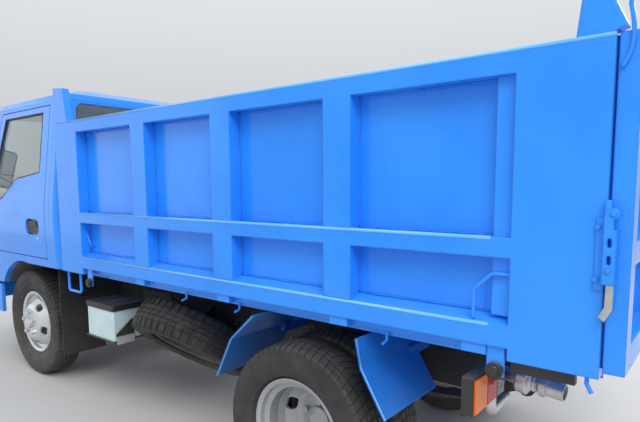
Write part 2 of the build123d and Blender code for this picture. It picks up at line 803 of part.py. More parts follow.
# Cross-bearers under the floor plate
# middle x, length
floor_members = ((630, 90), (-111, 80), (-751, 80), (-1379, 80), (-1890, 80), (-2200, 58))
with BuildPart() as bed_bearers:
    for middle_x, length in floor_members:
        with BuildSketch(Plane.XY.offset(member_z)):
            with Locations((middle_x, 0)):
                Rectangle(length, 2 * inner_half_w - 2 * plate_t)
        extrude(amount=member_h)
bed_bearers.part.label = "bed_bearers"
export_step(bed_bearers.part, "parts/bed_bearers.step")

# Long sills with the tipping hinge's ears, and the crossbar that the hoist pushes
sill_front_x = 655
with BuildPart() as bed_sills:
    for side, name in sides:
        with BuildSketch(side_plane(side * (sill_rail_y - sill_rail_w / 2))):
            with BuildLine():
                Polyline(
                    (sill_front_x, member_z), (sill_front_x, sill_rail_z + 40),
                    (sill_front_x - 60, sill_rail_z), (tip_x, sill_rail_z), (tip_x, member_z), close=True,
                )
            make_face()
            with Locations((tip_x, tip_z)):
                Circle(tip_z - sill_rail_z)
            with BuildLine():
                Polyline(
                    (tip_x, tip_z), (tip_x - 40, tip_z), (tip_x - 40, member_z), (tip_x, member_z), close=True,
                )
            make_face()
            with Locations((tip_x, tip_z)):
                Circle(tip_pin_r + seat_gap, mode=Mode.SUBTRACT)
        extrude(amount=-side * sill_rail_w)
    with BuildSketch(side_plane(0)):
        with BuildLine():
            Polyline(
                (hoist_eye[0] - 60, member_z), (hoist_eye[0] - 30, hoist_eye[1] - 8),
                (hoist_eye[0], hoist_eye[1] - 28), (hoist_eye[0] + 30, hoist_eye[1] - 8),
                (hoist_eye[0] + 60, member_z), close=True,
            )
        make_face()
    extrude(amount=ear_t + eye_half_w + 6, both=True)
    with BuildSketch(side_plane(0)):
        with Locations((hoist_eye[0], member_z - 50)):
            Rectangle(300, 100)
    extrude(amount=eye_half_w + 6, both=True, mode=Mode.SUBTRACT)
    with BuildSketch(Plane.XY.offset(member_z)):
        with Locations((hoist_eye[0], 0)):
            Rectangle(130, 2 * sill_rail_y + sill_rail_w)
    extrude(amount=member_h)
    with BuildSketch(side_plane(0)):
        with Locations(hoist_eye):
            Circle(eye_pin_r)
    extrude(amount=ear_t + eye_half_w + 6, both=True)
bed_sills.part.label = "bed_sills"
export_step(bed_sills.part, "parts/bed_sills.step")

# Body sides: pressed panel in a frame of deep ribs, rails and a ledged sill
# rear edge x, front edge x of each rib
rib_table = ((-208, -87), (-824, -700), (-1438, -1317))
front_plate_x = bed_front_x - front_plate_w
rear_plate_x = bed_rear_x + rear_plate_w
bearer_end_z = 818
with BuildPart() as bed_sides:
    with BuildSketch(side_plane(inner_half_w)):
        with Locations(((bed_front_x + bed_rear_x) / 2, (bed_top + member_z) / 2)):
            Rectangle(bed_length, bed_top - member_z)
    extrude(amount=plate_t)
    # bands at full depth: x and z ranges
    bands = [
        (bed_rear_x, bed_front_x, bed_top - rail_band, bed_top),
        (rear_plate_x, front_plate_x, mid_rail_z, mid_rail_z + mid_rail_h),
        (front_plate_x, bed_front_x, bed_bottom, bed_top),
        (bed_rear_x, rear_plate_x, bed_bottom, bed_top),
    ]
    bands += [(rear, front, sill_ledge - 20, bed_top - rail_band) for rear, front in rib_table]
    for low_x, high_x, low_z, high_z in bands:
        with BuildSketch(side_plane(inner_half_w)):
            with Locations(((low_x + high_x) / 2, (low_z + high_z) / 2)):
                Rectangle(high_x - low_x, high_z - low_z)
        extrude(amount=-side_depth)
    with BuildSketch(side_plane(inner_half_w)):
        with Locations((rear_plate_x + 29, (sill_ledge + bed_top - rail_band) / 2)):
            Rectangle(58, bed_top - rail_band - sill_ledge)
    extrude(amount=-side_depth + 22)
    with BuildSketch(Plane.YZ.offset(rear_plate_x)):
        with BuildLine():
            Polyline(
                (inner_half_w, sill_z), (bed_half_w, sill_z), (bed_half_w, sill_top),
                (inner_half_w, sill_ledge), close=True,
            )
        make_face()
    extrude(amount=front_plate_x - rear_plate_x)
    for middle_x, length in floor_members[1:5]:
        with BuildSketch(Plane.XY.offset(bearer_end_z)):
            with Locations((middle_x, (inner_half_w + bed_half_w) / 2 - 3)):
                Rectangle(length, side_depth - 6)
        extrude(amount=sill_z - bearer_end_z)
    with BuildSketch(Plane.XY.offset(bearer_end_z + 4)):
        with Locations(((rear_plate_x + front_plate_x) / 2, inner_half_w + 12)):
            Rectangle(front_plate_x - rear_plate_x, 24)
    extrude(amount=sill_z - bearer_end_z - 4)
    with BuildSketch(side_plane(bed_half_w)):
        with BuildLine():
            Polyline(
                (682, bed_top), (706, post_top - 6), (592, post_top - 16), (556, bed_top), close=True,
            )
        make_face()
    extrude(amount=40)
    with BuildSketch(side_plane(bed_half_w)):
        with BuildLine():
            Polyline(
                (bed_rear_x + 10, bed_top), (bed_rear_x + 92, bed_top), (bed_rear_x + 70, post_top),
                (gate_pin_x - 22, post_top), (gate_pin_x - 22, gate_pin_z - 30), (bed_rear_x + 10, 1780),
                (bed_rear_x - 24, 1708), close=True,
            )
        make_face()
        with Locations((gate_pin_x, gate_pin_z)):
            Circle(gate_pin_r + seat_gap, mode=Mode.SUBTRACT)
    extrude(amount=40)
    mirror(about=Plane.XZ)
bed_sides.part.label = "bed_sides"
export_step(bed_sides.part, "parts/bed_sides.step")

# Headboard between the sides
with BuildPart() as bed_headboard:
    with BuildSketch(Plane.YZ.offset(board_x)):
        with Locations((0, (bed_top + member_z) / 2)):
            Rectangle(2 * (inner_half_w - plate_t), bed_top - member_z)
    extrude(amount=plate_t)
    with BuildSketch(Plane.YZ.offset(board_x + plate_t)):
        for rail_middle in (bed_top - rail_band / 2, mid_rail_z + mid_rail_h / 2, floor_z):
            with Locations((0, rail_middle)):
                Rectangle(2 * (inner_half_w - plate_t), 60)
        for rib_y in (-375, 0, 375):
            with Locations((rib_y, (bed_top + member_z) / 2)):
                Rectangle(80, bed_top - member_z - 60)
    extrude(amount=24)
bed_headboard.part.label = "bed_headboard"
export_step(bed_headboard.part, "parts/bed_headboard.step")

# Body fittings: step loop, grab handle, rope hooks, lamp brackets and tailgate latches
hook_places = (-439, -811, -1561)
marker_places = ((400, 772), (-1958, 777))
latch_x = bed_rear_x - 4
latch_z = 1155
with BuildPart() as bed_fittings:
    with BuildLine() as step_line:
        FilletPolyline(
            (692, 780, bed_bottom), (692, 780, 692), (548, 780, 692), (548, 780, bed_bottom), radius=16,
        )
    with BuildSketch(Plane(origin=(692, 780, bed_bottom), z_dir=(0, 0, -1))):
        Circle(8)
    sweep(path=step_line.line)
    with BuildLine() as handle_line:
        FilletPolyline(
            (rear_plate_x, 798, 1066), (-1940, 798, 1064), (-1887, 798, 1012), (-1886, 798, sill_top + 7),
            radius=14,
        )
    with BuildSketch(Plane(origin=(rear_plate_x, 798, 1066), z_dir=(1, 0, 0))):
        Circle(6)
    sweep(path=handle_line.line)
    for hook_x in hook_places:
        with BuildLine() as hook_line:
            FilletPolyline((hook_x, 762, bearer_end_z + 4), (hook_x, 762, 784), (hook_x, 790, 778), radius=8)
        with BuildSketch(Plane(origin=(hook_x, 762, bearer_end_z + 4), z_dir=(0, 0, -1))):
            Circle(5)
        sweep(path=hook_line.line)
    with BuildLine() as rear_hook_line:
        FilletPolyline((-2204, 790, bed_bottom), (-2204, 790, 790), (-2218, 796, 768), radius=8)
    with BuildSketch(Plane(origin=(-2204, 790, bed_bottom), z_dir=(0, 0, -1))):
        Circle(6)
    sweep(path=rear_hook_line.line)
    for marker_x, marker_z in marker_places:
        with BuildSketch(side_plane(800)):
            with Locations((marker_x, (marker_z - 20 + sill_z) / 2)):
                Rectangle(54, sill_z - marker_z + 20)
        extrude(amount=4)
    with BuildSketch(side_plane(bed_half_w)):
        with Locations((bed_rear_x + 12, latch_z - 10)):
            Rectangle(24, 190)
    extrude(amount=-4)
    with BuildSketch(side_plane(bed_half_w + 4)):
        with Locations((latch_x - 8, latch_z - 15)):
            Rectangle(30, 140)
        with Locations((latch_x - 8, latch_z + 22), (latch_x - 8, latch_z - 22)):
            SlotOverall(24, 10, rotation=90, mode=Mode.SUBTRACT)
        with Locations((latch_x - 4, latch_z + 74)):
            Rectangle(22, 40)
        with Locations((latch_x - 14, latch_z + 96)):
            Circle(14)
    extrude(amount=-18)
    with BuildSketch(Plane.XY.offset(latch_z + 90)):
        with Locations((latch_x, bed_half_w + 13)):
            Circle(8)
    extrude(amount=40)
    mirror(about=Plane.XZ)
bed_fittings.part.label = "bed_fittings"
export_step(bed_fittings.part, "parts/bed_fittings.step")

with BuildPart() as latch_levers:
    with BuildSketch(side_plane(bed_half_w + 10)):
        with BuildLine():
            Polyline(
                (latch_x - 22, latch_z - 85), (latch_x - 4, latch_z - 85), (latch_x - 3, 1012),
                (latch_x + 10, 986), (latch_x - 4, 974), (latch_x - 21, 1006), close=True,
            )
        make_face()
    extrude(amount=-9)
    mirror(about=Plane.XZ)
latch_levers.part.label = "latch_levers"
export_step(latch_levers.part, "parts/latch_levers.step")

# Marker lamps and the flap bars under the body's rear
marker_r = 26
with BuildPart() as marker_lamps:
    for marker_x, marker_z in marker_places:
        with BuildSketch(side_plane(800)):
            with Locations((marker_x, marker_z)):
                Circle(marker_r)
        extrude(amount=-15)
        with BuildSketch(side_plane(815)):
            with Locations((marker_x, marker_z)):
                Circle(marker_r * 0.6)
        extrude(amount=-7)
    with BuildSketch(side_plane(788)):
        with Locations((rear_plate_x - 92, (776 + bed_bottom) / 2)):
            Rectangle(176, bed_bottom - 776)
    extrude(amount=24)
    mirror(about=Plane.XZ)
marker_lamps.part.label = "marker_lamps"
export_step(marker_lamps.part, "parts/marker_lamps.step")

# Tailgate: framed panel that hangs from pins above the body's top
gate_front_x = bed_rear_x - gate_gap
gate_rear_x = gate_front_x - gate_t
with BuildPart() as tailgate:
    with BuildSketch(Plane.YZ.offset(gate_front_x)):
        with Locations((0, (gate_bottom + bed_top) / 2)):
            Rectangle(2 * gate_half_w, bed_top - gate_bottom)
    extrude(amount=-plate_t)
    frame_w = 70
    with BuildSketch(Plane.YZ.offset(gate_front_x)):
        with Locations((0, (gate_bottom + bed_top) / 2)):
            Rectangle(2 * gate_half_w, bed_top - gate_bottom)
            Rectangle(2 * (gate_half_w - frame_w), bed_top - gate_bottom - 2 * frame_w, mode=Mode.SUBTRACT)
        for rib_y in (-270, 270):
            with Locations((rib_y, (gate_bottom + bed_top) / 2)):
                Rectangle(90, bed_top - gate_bottom)
        with Locations((0, mid_rail_z + mid_rail_h / 2)):
            Rectangle(2 * gate_half_w, mid_rail_h)
    extrude(amount=-gate_t)
    with BuildSketch(side_plane(bed_half_w - 46)):
        with BuildLine():
            back = ThreePointArc((gate_rear_x + 2, 1600), (-2345, 1730), (gate_pin_x - 12, gate_pin_z + 16))
            tip = ThreePointArc(back @ 1, (gate_pin_x + 10, gate_pin_z + 14), (gate_pin_x + 16, gate_pin_z - 12))
            front = ThreePointArc(tip @ 1, (-2306, 1745), (gate_rear_x + 2, 1680))
            Line(front @ 1, back @ 0)
        make_face()
    extrude(amount=14)
    with BuildSketch(side_plane(bed_half_w - 60)):
        with Locations((gate_pin_x, gate_pin_z)):
            Circle(gate_pin_r)
    extrude(amount=-62)
    mirror(about=Plane.XZ)
tailgate.part.label = "tailgate"
export_step(tailgate.part, "parts/tailgate.step")

# Cab: sections of its outer form from the skirt to the roof
# height, rear x, front x, half width, 1 where the section belongs to the roof
cab_rings = (
    (625, cab_rear_x, 2335, 776, 0),
    (1000, cab_rear_x, 2318, 790, 0),
    (1144, cab_rear_x + 1, 2290, 790, 0),
    (1225, cab_rear_x + 2, 2262, 784, 0),
    (1262, cab_rear_x + 3, 2235, 780, 0),
    (1865, cab_rear_x + 15, 1917, 706, 1),
    (1900, cab_rear_x + 20, 1880, 690, 1),
    (1940, cab_rear_x + 110, 1720, 560, 1),
)
rear_corner_r = 55
front_corner_r = 150


def cab_form(inset):
    """The cab's form with every wall drawn in by inset."""
    with BuildPart() as form:
        for z, rear, front, half, roof in cab_rings:
            with BuildSketch(Plane.XY.offset(z - inset * roof)) as ring:
                with BuildLine():
                    Polyline(
                        (rear + inset, -half + inset), (front - inset, -half + inset),
                        (front - inset, half - inset), (rear + inset, half - inset), close=True,
                    )
                make_face()
                fillet(ring.vertices().group_by(Axis.X)[0], rear_corner_r - inset)
                fillet(ring.vertices().group_by(Axis.X)[-1], front_corner_r - inset)
        loft(ruled=True)
    return form.part


def door_outline(gap):
    """Side outline of a door, drawn in by gap."""
    with BuildLine() as edge:
        Polyline(
            (door_rear_x + gap, door_bottom + gap), (door_front_x - gap, door_bottom + gap),
            (door_front_x - gap, 1252), (1702 - gap, 1838 - gap), (door_rear_x + gap, 1838 - gap), close=True,
        )
    make_face(edge.edges())


def window_outline(gap):
    """Side window, with the lower stretch of its sill at the front, drawn in by gap."""
    with BuildLine() as edge:
        Polyline(
            (1054 + gap, 1796 - gap), (1054 + gap, 1412 + gap), (1414, 1372 + gap), (1632, 1236 + gap),
            (1812 - gap, 1236 + gap), (1812 - gap, 1300), (1640 - gap, 1796 - gap), close=True,
        )
    make_face(edge.edges())



cab_outer = cab_form(0)
cab_inner = cab_form(cab_wall)
glass_outer = cab_form(10)
glass_inner = cab_form(10 + glass_t)
grille_x = 2302
screen_edge = ((-700, 1275), (700, 1275), (625, 1830), (-625, 1830))
rear_window = (1250, 396)
rear_window_z = 1648
arch_open_x = 1440
hinge_at = (door_front_x - door_gap / 2, 790)
hinge_pin_r = 6
hinge_heights = (900, 1075)
hinge_l = 60
with BuildPart() as cab_walls:
    add(cab_outer)
    add(cab_inner, mode=Mode.SUBTRACT)
    with BuildSketch(side_plane(0)):
        with Locations((arch_open_x / 2, cab_floor_z / 2)):
            Rectangle(arch_open_x, cab_floor_z)
        with Locations((front_axle_x, front_tyre_r)):
            Circle(arch_r)
    extrude(amount=1000, both=True, mode=Mode.SUBTRACT)
    for side, name in sides:
        with BuildSketch(side_plane(side * 600)):
            door_outline(0)
        extrude(amount=-side * 250, mode=Mode.SUBTRACT)
    with BuildSketch(Plane.YZ.offset(1700)):
        with BuildLine():
            Polyline(*screen_edge, close=True)
        make_face()
    extrude(amount=900, mode=Mode.SUBTRACT)
    with BuildSketch(Plane.YZ.offset(rear_seam_x)):
        with Locations((0, rear_window_z)):
            RectangleRounded(*rear_window, 50)
    extrude(amount=-200, mode=Mode.SUBTRACT)
    with BuildSketch(Plane.YZ.offset(grille_x)):
        with Locations((0, 785)):
            Rectangle(1410, 170)
    extrude(amount=100, mode=Mode.SUBTRACT)

# Cab panels, parted at their seams: outline of each in side view
panel_table = (
    ("cab_roof", ((0, roof_seam_z), (0, 3000), (3000, 3000), (3000, roof_seam_z))),
    ("cab_rear", ((0, 0), (0, roof_seam_z), (rear_seam_x, roof_seam_z), (rear_seam_x, 0))),
    ("cab_front", ((1920, 0), (1920, 1262), (1740, roof_seam_z), (3000, roof_seam_z), (3000, 0))),
    ("cab_sides", ((rear_seam_x, 0), (rear_seam_x, roof_seam_z), (1740, roof_seam_z), (1920, 1262), (1920, 0))),
)
for name, outline in panel_table:
    with BuildPart() as cab_panel:
        with BuildSketch(side_plane(0)):
            with BuildLine():
                Polyline(*outline, close=True)
            make_face()
        extrude(amount=1000, both=True)
        add(cab_walls.part, mode=Mode.INTERSECT)
        if name == "cab_sides":
            for side, hand in sides:
                for hinge_z in hinge_heights:
                    with BuildSketch(Plane.XY.offset(hinge_z)):
                        with Locations((hinge_at[0], side * hinge_at[1])):
                            Circle(hinge_pin_r)
                    extrude(amount=hinge_l)
    cab_panel.part.label = name
    export_step(cab_panel.part, f"parts/{name}.step")

# Cab floor: rear deck with the seat riser, wheel arches, foot floor and tilt hinge brackets
floor_top = 845
foot_floor_z = (680, 715)
arch_t = 30
skirt_z = cab_rings[0][0]
with BuildPart() as cab_floor:
    with BuildSketch(side_plane(0)):
        with Locations((front_axle_x / 2, (cab_floor_z + floor_top) / 2)):
            Rectangle(front_axle_x, floor_top - cab_floor_z)
        with Locations(((front_axle_x + 3000) / 2, sum(foot_floor_z) / 2)):
            Rectangle(3000 - front_axle_x, foot_floor_z[1] - foot_floor_z[0])
        with Locations((front_axle_x, front_tyre_r)):
            Circle(arch_r + arch_t)
            Circle(arch_r, mode=Mode.SUBTRACT)
        with Locations((arch_open_x / 2, cab_floor_z / 2)):
            Rectangle(arch_open_x, cab_floor_z, mode=Mode.SUBTRACT)
        with Locations((1500, skirt_z / 2)):
            Rectangle(3000, skirt_z, mode=Mode.SUBTRACT)
    extrude(amount=1000, both=True)
    add(cab_form(cab_wall + seat_gap), mode=Mode.INTERSECT)
    with BuildSketch(Plane.XY.offset(600)):
        with Locations((1700, 0)):
            Rectangle(200, 2 * (rail_y + 60))
    extrude(amount=foot_floor_z[0] - 600, mode=Mode.SUBTRACT)
    with BuildSketch(Plane.XY.offset(floor_top - weld)):
        with Locations((1090, 0)):
            Rectangle(500, 1180)
    extrude(amount=riser_z - floor_top + weld)
    for side, name in sides:
        with BuildSketch(side_plane(side * (rail_y + 10))):
            with BuildLine():
                Polyline(
                    (cab_pin[0] - 42, foot_floor_z[0] + weld), (cab_pin[0] + 26, foot_floor_z[0] + weld),
                    (cab_pin[0] + 26, cab_pin[1]), (cab_pin[0] - 26, cab_pin[1]), close=True,
                )
            make_face()
            with Locations(cab_pin):
                Circle(26)
                Circle(cab_pin_r + seat_gap, mode=Mode.SUBTRACT)
        extrude(amount=-side * 14)
cab_floor.part.label = "cab_floor"
export_step(cab_floor.part, "parts/cab_floor.step")

with BuildPart() as panes:
    with BuildSketch(Plane.YZ.offset(1700)):
        with BuildLine():
            Polyline(*screen_edge, close=True)
            offset(amount=-seat_gap, mode=Mode.REPLACE)
        make_face()
    extrude(amount=900)
    with BuildSketch(Plane.YZ.offset(rear_seam_x)):
        with Locations((0, rear_window_z)):
            RectangleRounded(rear_window[0] - 2 * seat_gap, rear_window[1] - 2 * seat_gap, 50)
    extrude(amount=-200)

with BuildPart() as cab_glass:
    add(glass_outer)
    add(glass_inner, mode=Mode.SUBTRACT)
    add(panes.part, mode=Mode.INTERSECT)
cab_glass.part.label = "cab_glass"
export_step(cab_glass.part, "parts/cab_glass.step")

# Doors with the pocket for the handle, and their glass
pocket_at = (1146, 1058)
pocket_floor = cab_form(20)
for side, name in sides:
    with BuildPart() as door:
        add(cab_outer)
        add(cab_inner, mode=Mode.SUBTRACT)
        with BuildSketch(side_plane(side * 600)):
            door_outline(door_gap)
        extrude(amount=-side * 250, mode=Mode.INTERSECT)
        with BuildSketch(side_plane(side * 600)):
            window_outline(0)
        extrude(amount=-side * 250, mode=Mode.SUBTRACT)
        for hinge_z in hinge_heights:
            with BuildSketch(Plane.XY.offset(hinge_z - 1)):
                with Locations((hinge_at[0], side * hinge_at[1])):
                    Circle(hinge_pin_r + seat_gap)
            extrude(amount=hinge_l + 2, mode=Mode.SUBTRACT)
        with BuildPart(mode=Mode.PRIVATE) as pocket:
            add(cab_outer)
            add(pocket_floor, mode=Mode.SUBTRACT)
            with BuildSketch(side_plane(side * 600)):
                with Locations(pocket_at):
                    RectangleRounded(190, 104, 40)
            extrude(amount=-side * 250, mode=Mode.INTERSECT)
        add(pocket.part, mode=Mode.SUBTRACT)
    door.part.label = f"door_{name}"
    export_step(door.part, f"parts/door_{name}.step")

    with BuildPart() as door_glass:
        add(glass_outer)
        add(glass_inner, mode=Mode.SUBTRACT)
        with BuildSketch(side_plane(side * 600)):
            window_outline(seat_gap)
        extrude(amount=-side * 250, mode=Mode.INTERSECT)
    door_glass.part.label = f"door_glass_{name}"
    export_step(door_glass.part, f"parts/door_glass_{name}.step")

# Grille with its slats, and the lamps beside it
with BuildPart() as grille:
    with BuildSketch(Plane.YZ.offset(grille_x)):
        with Locations((0, 785)):
            Rectangle(840, 168)
    extrude(amount=6)
    with BuildSketch(Plane.YZ.offset(grille_x + 6)):
        with Locations((0, 785)):
            Rectangle(840, 168)
            Rectangle(812, 140, mode=Mode.SUBTRACT)
        for slat in range(4):
            with Locations((0, 737 + 32 * slat)):
                Rectangle(820, 12)
    extrude(amount=10)
grille.part.label = "grille"
export_step(grille.part, "parts/grille.step")

with BuildPart() as headlamps:
    for side, name in sides:
        with BuildSketch(Plane.YZ.offset(grille_x)):
            with Locations((side * 565, 785)):
                RectangleRounded(270, 160, 14)
        extrude(amount=11)
headlamps.part.label = "headlamps"
export_step(headlamps.part, "parts/headlamps.step")

# Seats on the riser behind the driver's feet
with BuildPart() as seats:
    for seat_y, seat_w in ((-340, 500), (235, 640)):
        with BuildSketch(Plane.XY.offset(riser_z + seat_gap)):
            with Locations((1110, seat_y)):
                RectangleRounded(460, seat_w, 50)
        extrude(amount=120)
        with BuildSketch(side_plane(seat_y)):
            with BuildLine():
                Polyline((880, 1100), (1010, 1100), (960, 1640), (860, 1640), close=True)
            make_face()
        extrude(amount=seat_w / 2, both=True)
seats.part.label = "seats"
export_step(seats.part, "parts/seats.step")

# Dashboard with the steering column
wheel_at = Vector(1700, -360, 1260)
column_axis = Vector(-sin(radians(30)), 0, cos(radians(30)))
column_foot_z = foot_floor_z[1] + seat_gap
with BuildPart() as dashboard:
    with BuildSketch(side_plane(0)):
        with BuildLine():
            Polyline(
                (2400, 1060), (1960, 1060), (1900, 1180), (1915, 1250), (1990, 1272), (2400, 1240), close=True,
            )
        make_face()
    extrude(amount=700, both=True)
    with BuildSketch(Plane(origin=wheel_at - column_axis * (16 + seat_gap), z_dir=-column_axis)):
        Circle(24)
    extrude(amount=700)
    with BuildSketch(side_plane(-360)):
        with BuildLine():
            Polyline((1790, 1085), (1820, 1130), (1930, 1200), (1990, 1070), close=True)
        make_face()
    extrude(amount=30, both=True)
    with BuildSketch(side_plane(0)):
        with BuildLine():
            Polyline((0, 0), (0, column_foot_z), (3000, column_foot_z), (3000, 0), close=True)
        make_face()
    extrude(amount=1000, both=True, mode=Mode.SUBTRACT)
    add(cab_form(cab_wall + seat_gap), mode=Mode.INTERSECT)
dashboard.part.label = "dashboard"
export_step(dashboard.part, "parts/dashboard.step")

# Steering wheel
wheel_top = Plane(origin=wheel_at, x_dir=(0, 1, 0), z_dir=column_axis)
with BuildPart() as steering_wheel:
    with BuildSketch(Plane(origin=wheel_at, x_dir=(0, 1, 0), z_dir=(column_axis.Z, 0, -column_axis.X))):
        with Locations((190, 0)):
            Circle(13)
    revolve(axis=Axis(wheel_at, column_axis))
    with BuildSketch(wheel_top.offset(-16)):
        Circle(42)
        for spoke in (90, 210, 330):
            with Locations(Location((0, 0), spoke)):
                with Locations((95, 0)):
                    Rectangle(180, 26)
    extrude(amount=16)
steering_wheel.part.label = "steering_wheel"
export_step(steering_wheel.part, "parts/steering_wheel.step")

# Mirrors on stays at the cab's front corners
with BuildPart() as mirrors:
    for side, name in sides:
        with BuildLine() as stay:
            FilletPolyline(
                (2110, side * 735, 1330), (2175, side * 900, 1330), (2175, side * 900, 1690),
                (1880, side * 700, 1740), radius=20,
            )
        with BuildSketch(Plane(origin=stay.line @ 0, z_dir=stay.line % 0)):
            Circle(8)
        sweep(path=stay.line)
        with BuildSketch(Plane.YZ.offset(2150)):
            with Locations((side * 930, 1510)):
                RectangleRounded(150, 300, 30)
        extrude(amount=45)
    add(cab_form(-seat_gap), mode=Mode.SUBTRACT)
mirrors.part.label = "mirrors"
export_step(mirrors.part, "parts/mirrors.step")

# Bumper: wraps round the front and hangs on the rails' ends
bumper_x = 2345
bumper_z = (400, 550)
bumper_t = 24
side_top = 605
side_x = (1740, 2180)
with BuildPart() as bumper:
    with BuildSketch(Plane.XY.offset(bumper_z[0])) as bumper_plan:
        with BuildLine():
            Polyline(
                (side_x[0], -785), (bumper_x, -785), (bumper_x, 785), (side_x[0], 785),
                (side_x[0], 785 - bumper_t), (bumper_x - bumper_t, 785 - bumper_t),
                (bumper_x - bumper_t, -785 + bumper_t), (side_x[0], -785 + bumper_t), close=True,
            )
        make_face()
        fillet(bumper_plan.vertices().group_by(Axis.X)[-1], 120)
        fillet(bumper_plan.vertices().group_by(Axis.X)[-2], 96)
    extrude(amount=bumper_z[1] - bumper_z[0])
    for side, name in sides:
        with BuildSketch(Plane.XY.offset(rail_z - 5)):
            with Locations(((rail_front_x + bumper_x - bumper_t) / 2, side * 297)):
                Rectangle(bumper_x - bumper_t - rail_front_x, 40)
        extrude(amount=50)
        with BuildSketch(side_plane(side * 785)):
            with Locations((sum(side_x) / 2, (bumper_z[0] + side_top) / 2)):
                Rectangle(side_x[1] - side_x[0], side_top - bumper_z[0])
        extrude(amount=side * bumper_t)
bumper.part.label = "bumper"
export_step(bumper.part, "parts/bumper.step")
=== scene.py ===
import math
import random

import bmesh
import bpy
from mathutils import Matrix, Vector


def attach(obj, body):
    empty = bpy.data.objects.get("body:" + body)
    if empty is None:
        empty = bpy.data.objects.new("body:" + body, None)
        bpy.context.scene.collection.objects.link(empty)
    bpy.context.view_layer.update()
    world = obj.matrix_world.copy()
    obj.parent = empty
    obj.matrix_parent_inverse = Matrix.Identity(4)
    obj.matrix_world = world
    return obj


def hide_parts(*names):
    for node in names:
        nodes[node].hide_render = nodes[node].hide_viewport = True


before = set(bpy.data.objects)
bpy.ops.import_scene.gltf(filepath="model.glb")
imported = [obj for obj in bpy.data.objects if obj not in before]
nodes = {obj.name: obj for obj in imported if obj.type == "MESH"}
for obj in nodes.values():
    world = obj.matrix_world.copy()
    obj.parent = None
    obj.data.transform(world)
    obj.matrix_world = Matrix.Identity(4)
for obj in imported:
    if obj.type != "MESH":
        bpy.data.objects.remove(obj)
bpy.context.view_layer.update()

# Finishes: node materials
BEVEL_SAMPLES = 4


class Graph:
    """A node material under construction, with short helpers for its nodes."""

    def __init__(self, name):
        self.material = bpy.data.materials.new(name)
        self.material.use_nodes = True
        self.tree = self.material.node_tree
        self.tree.nodes.clear()
        self.coords = self.tree.nodes.new("ShaderNodeTexCoord")
        self.shader = self.tree.nodes.new("ShaderNodeBsdfPrincipled")
        out = self.tree.nodes.new("ShaderNodeOutputMaterial")
        self.tree.links.new(self.shader.outputs[0], out.inputs[0])
        self.heights = []

    def put(self, socket, value):
        """Link a socket, or set a plain number or colour."""
        if isinstance(value, bpy.types.NodeSocket):
            self.tree.links.new(value, socket)
        else:
            socket.default_value = value

    def where(self, stretch):
        """The object's own coordinates, stretched."""
        mapping = self.tree.nodes.new("ShaderNodeMapping")
        mapping.inputs["Scale"].default_value = stretch
        self.tree.links.new(self.coords.outputs["Object"], mapping.inputs["Vector"])
        return mapping.outputs[0]

    def noise(self, scale, detail=4, rough=0.55, stretch=(1, 1, 1)):
        node = self.tree.nodes.new("ShaderNodeTexNoise")
        self.tree.links.new(self.where(stretch), node.inputs["Vector"])
        node.inputs["Scale"].default_value = scale
        node.inputs["Detail"].default_value = detail
        node.inputs["Roughness"].default_value = rough
        return node.outputs[0]

    def ramp(self, value, low, high, start=0.0, end=1.0):
        """A smooth step from start to end while value goes from low to high."""
        node = self.tree.nodes.new("ShaderNodeMapRange")
        node.interpolation_type = "SMOOTHSTEP"
        for socket, number in zip(node.inputs[:5], (value, low, high, start, end)):
            self.put(socket, number)
        return node.outputs[0]

    def math(self, operation, first, second=0.0):
        node = self.tree.nodes.new("ShaderNodeMath")
        node.operation = operation
        self.put(node.inputs[0], first)
        self.put(node.inputs[1], second)
        return node.outputs[0]

    def mix(self, factor, first, second):
        node = self.tree.nodes.new("ShaderNodeMix")
        node.data_type = "RGBA"
        for index, value in ((0, factor), (6, first), (7, second)):
            self.put(node.inputs[index], value)
        return node.outputs[2]

    def height(self):
        """Height above the ground, in metres."""
        split = self.tree.nodes.new("ShaderNodeSeparateXYZ")
        self.tree.links.new(self.coords.outputs["Object"], split.inputs[0])
        return split.outputs[2]

    def upward(self):
        """1 on faces that look up, 0 on walls."""
        split = self.tree.nodes.new("ShaderNodeSeparateXYZ")
        self.tree.links.new(self.coords.outputs["Normal"], split.inputs[0])
        return split.outputs[2]

    def rounded(self, radius):
        """Soften the light on sharp edges, as thick paint over folded sheet does."""
        node = self.tree.nodes.new("ShaderNodeBevel")
        node.samples = BEVEL_SAMPLES
        node.inputs["Radius"].default_value = radius
        self.heights.append(node.outputs[0])

    def bump(self, value, strength, distance):
        """Roughen the surface by value, over any rounding and bumps before."""
        node = self.tree.nodes.new("ShaderNodeBump")
        node.inputs["Strength"].default_value = strength
        node.inputs["Distance"].default_value = distance
        self.tree.links.new(value, node.inputs["Height"])
        if self.heights:
            self.tree.links.new(self.heights[-1], node.inputs["Normal"])
        self.heights.append(node.outputs[0])

    def done(self, colour, roughness, **others):
        """Fill the shader's sockets; others are its socket names with _ for spaces."""
        self.put(self.shader.inputs["Base Color"], colour)
        self.put(self.shader.inputs["Roughness"], roughness)
        for name, value in others.items():
            self.put(self.shader.inputs[name.replace("_", " ")], value)
        if self.heights:
            self.tree.links.new(self.heights[-1], self.shader.inputs["Normal"])
        return self.material


def rgb(red, green, blue):
    return (red, green, blue, 1.0)


DUST = rgb(0.42, 0.38, 0.32)
RUST = rgb(0.17, 0.06, 0.022)
BARE = rgb(0.75, 0.78, 0.82)
PAINT_FOLD = 0.009
METAL_FOLD = 0.0025
PLASTIC_FOLD = 0.003


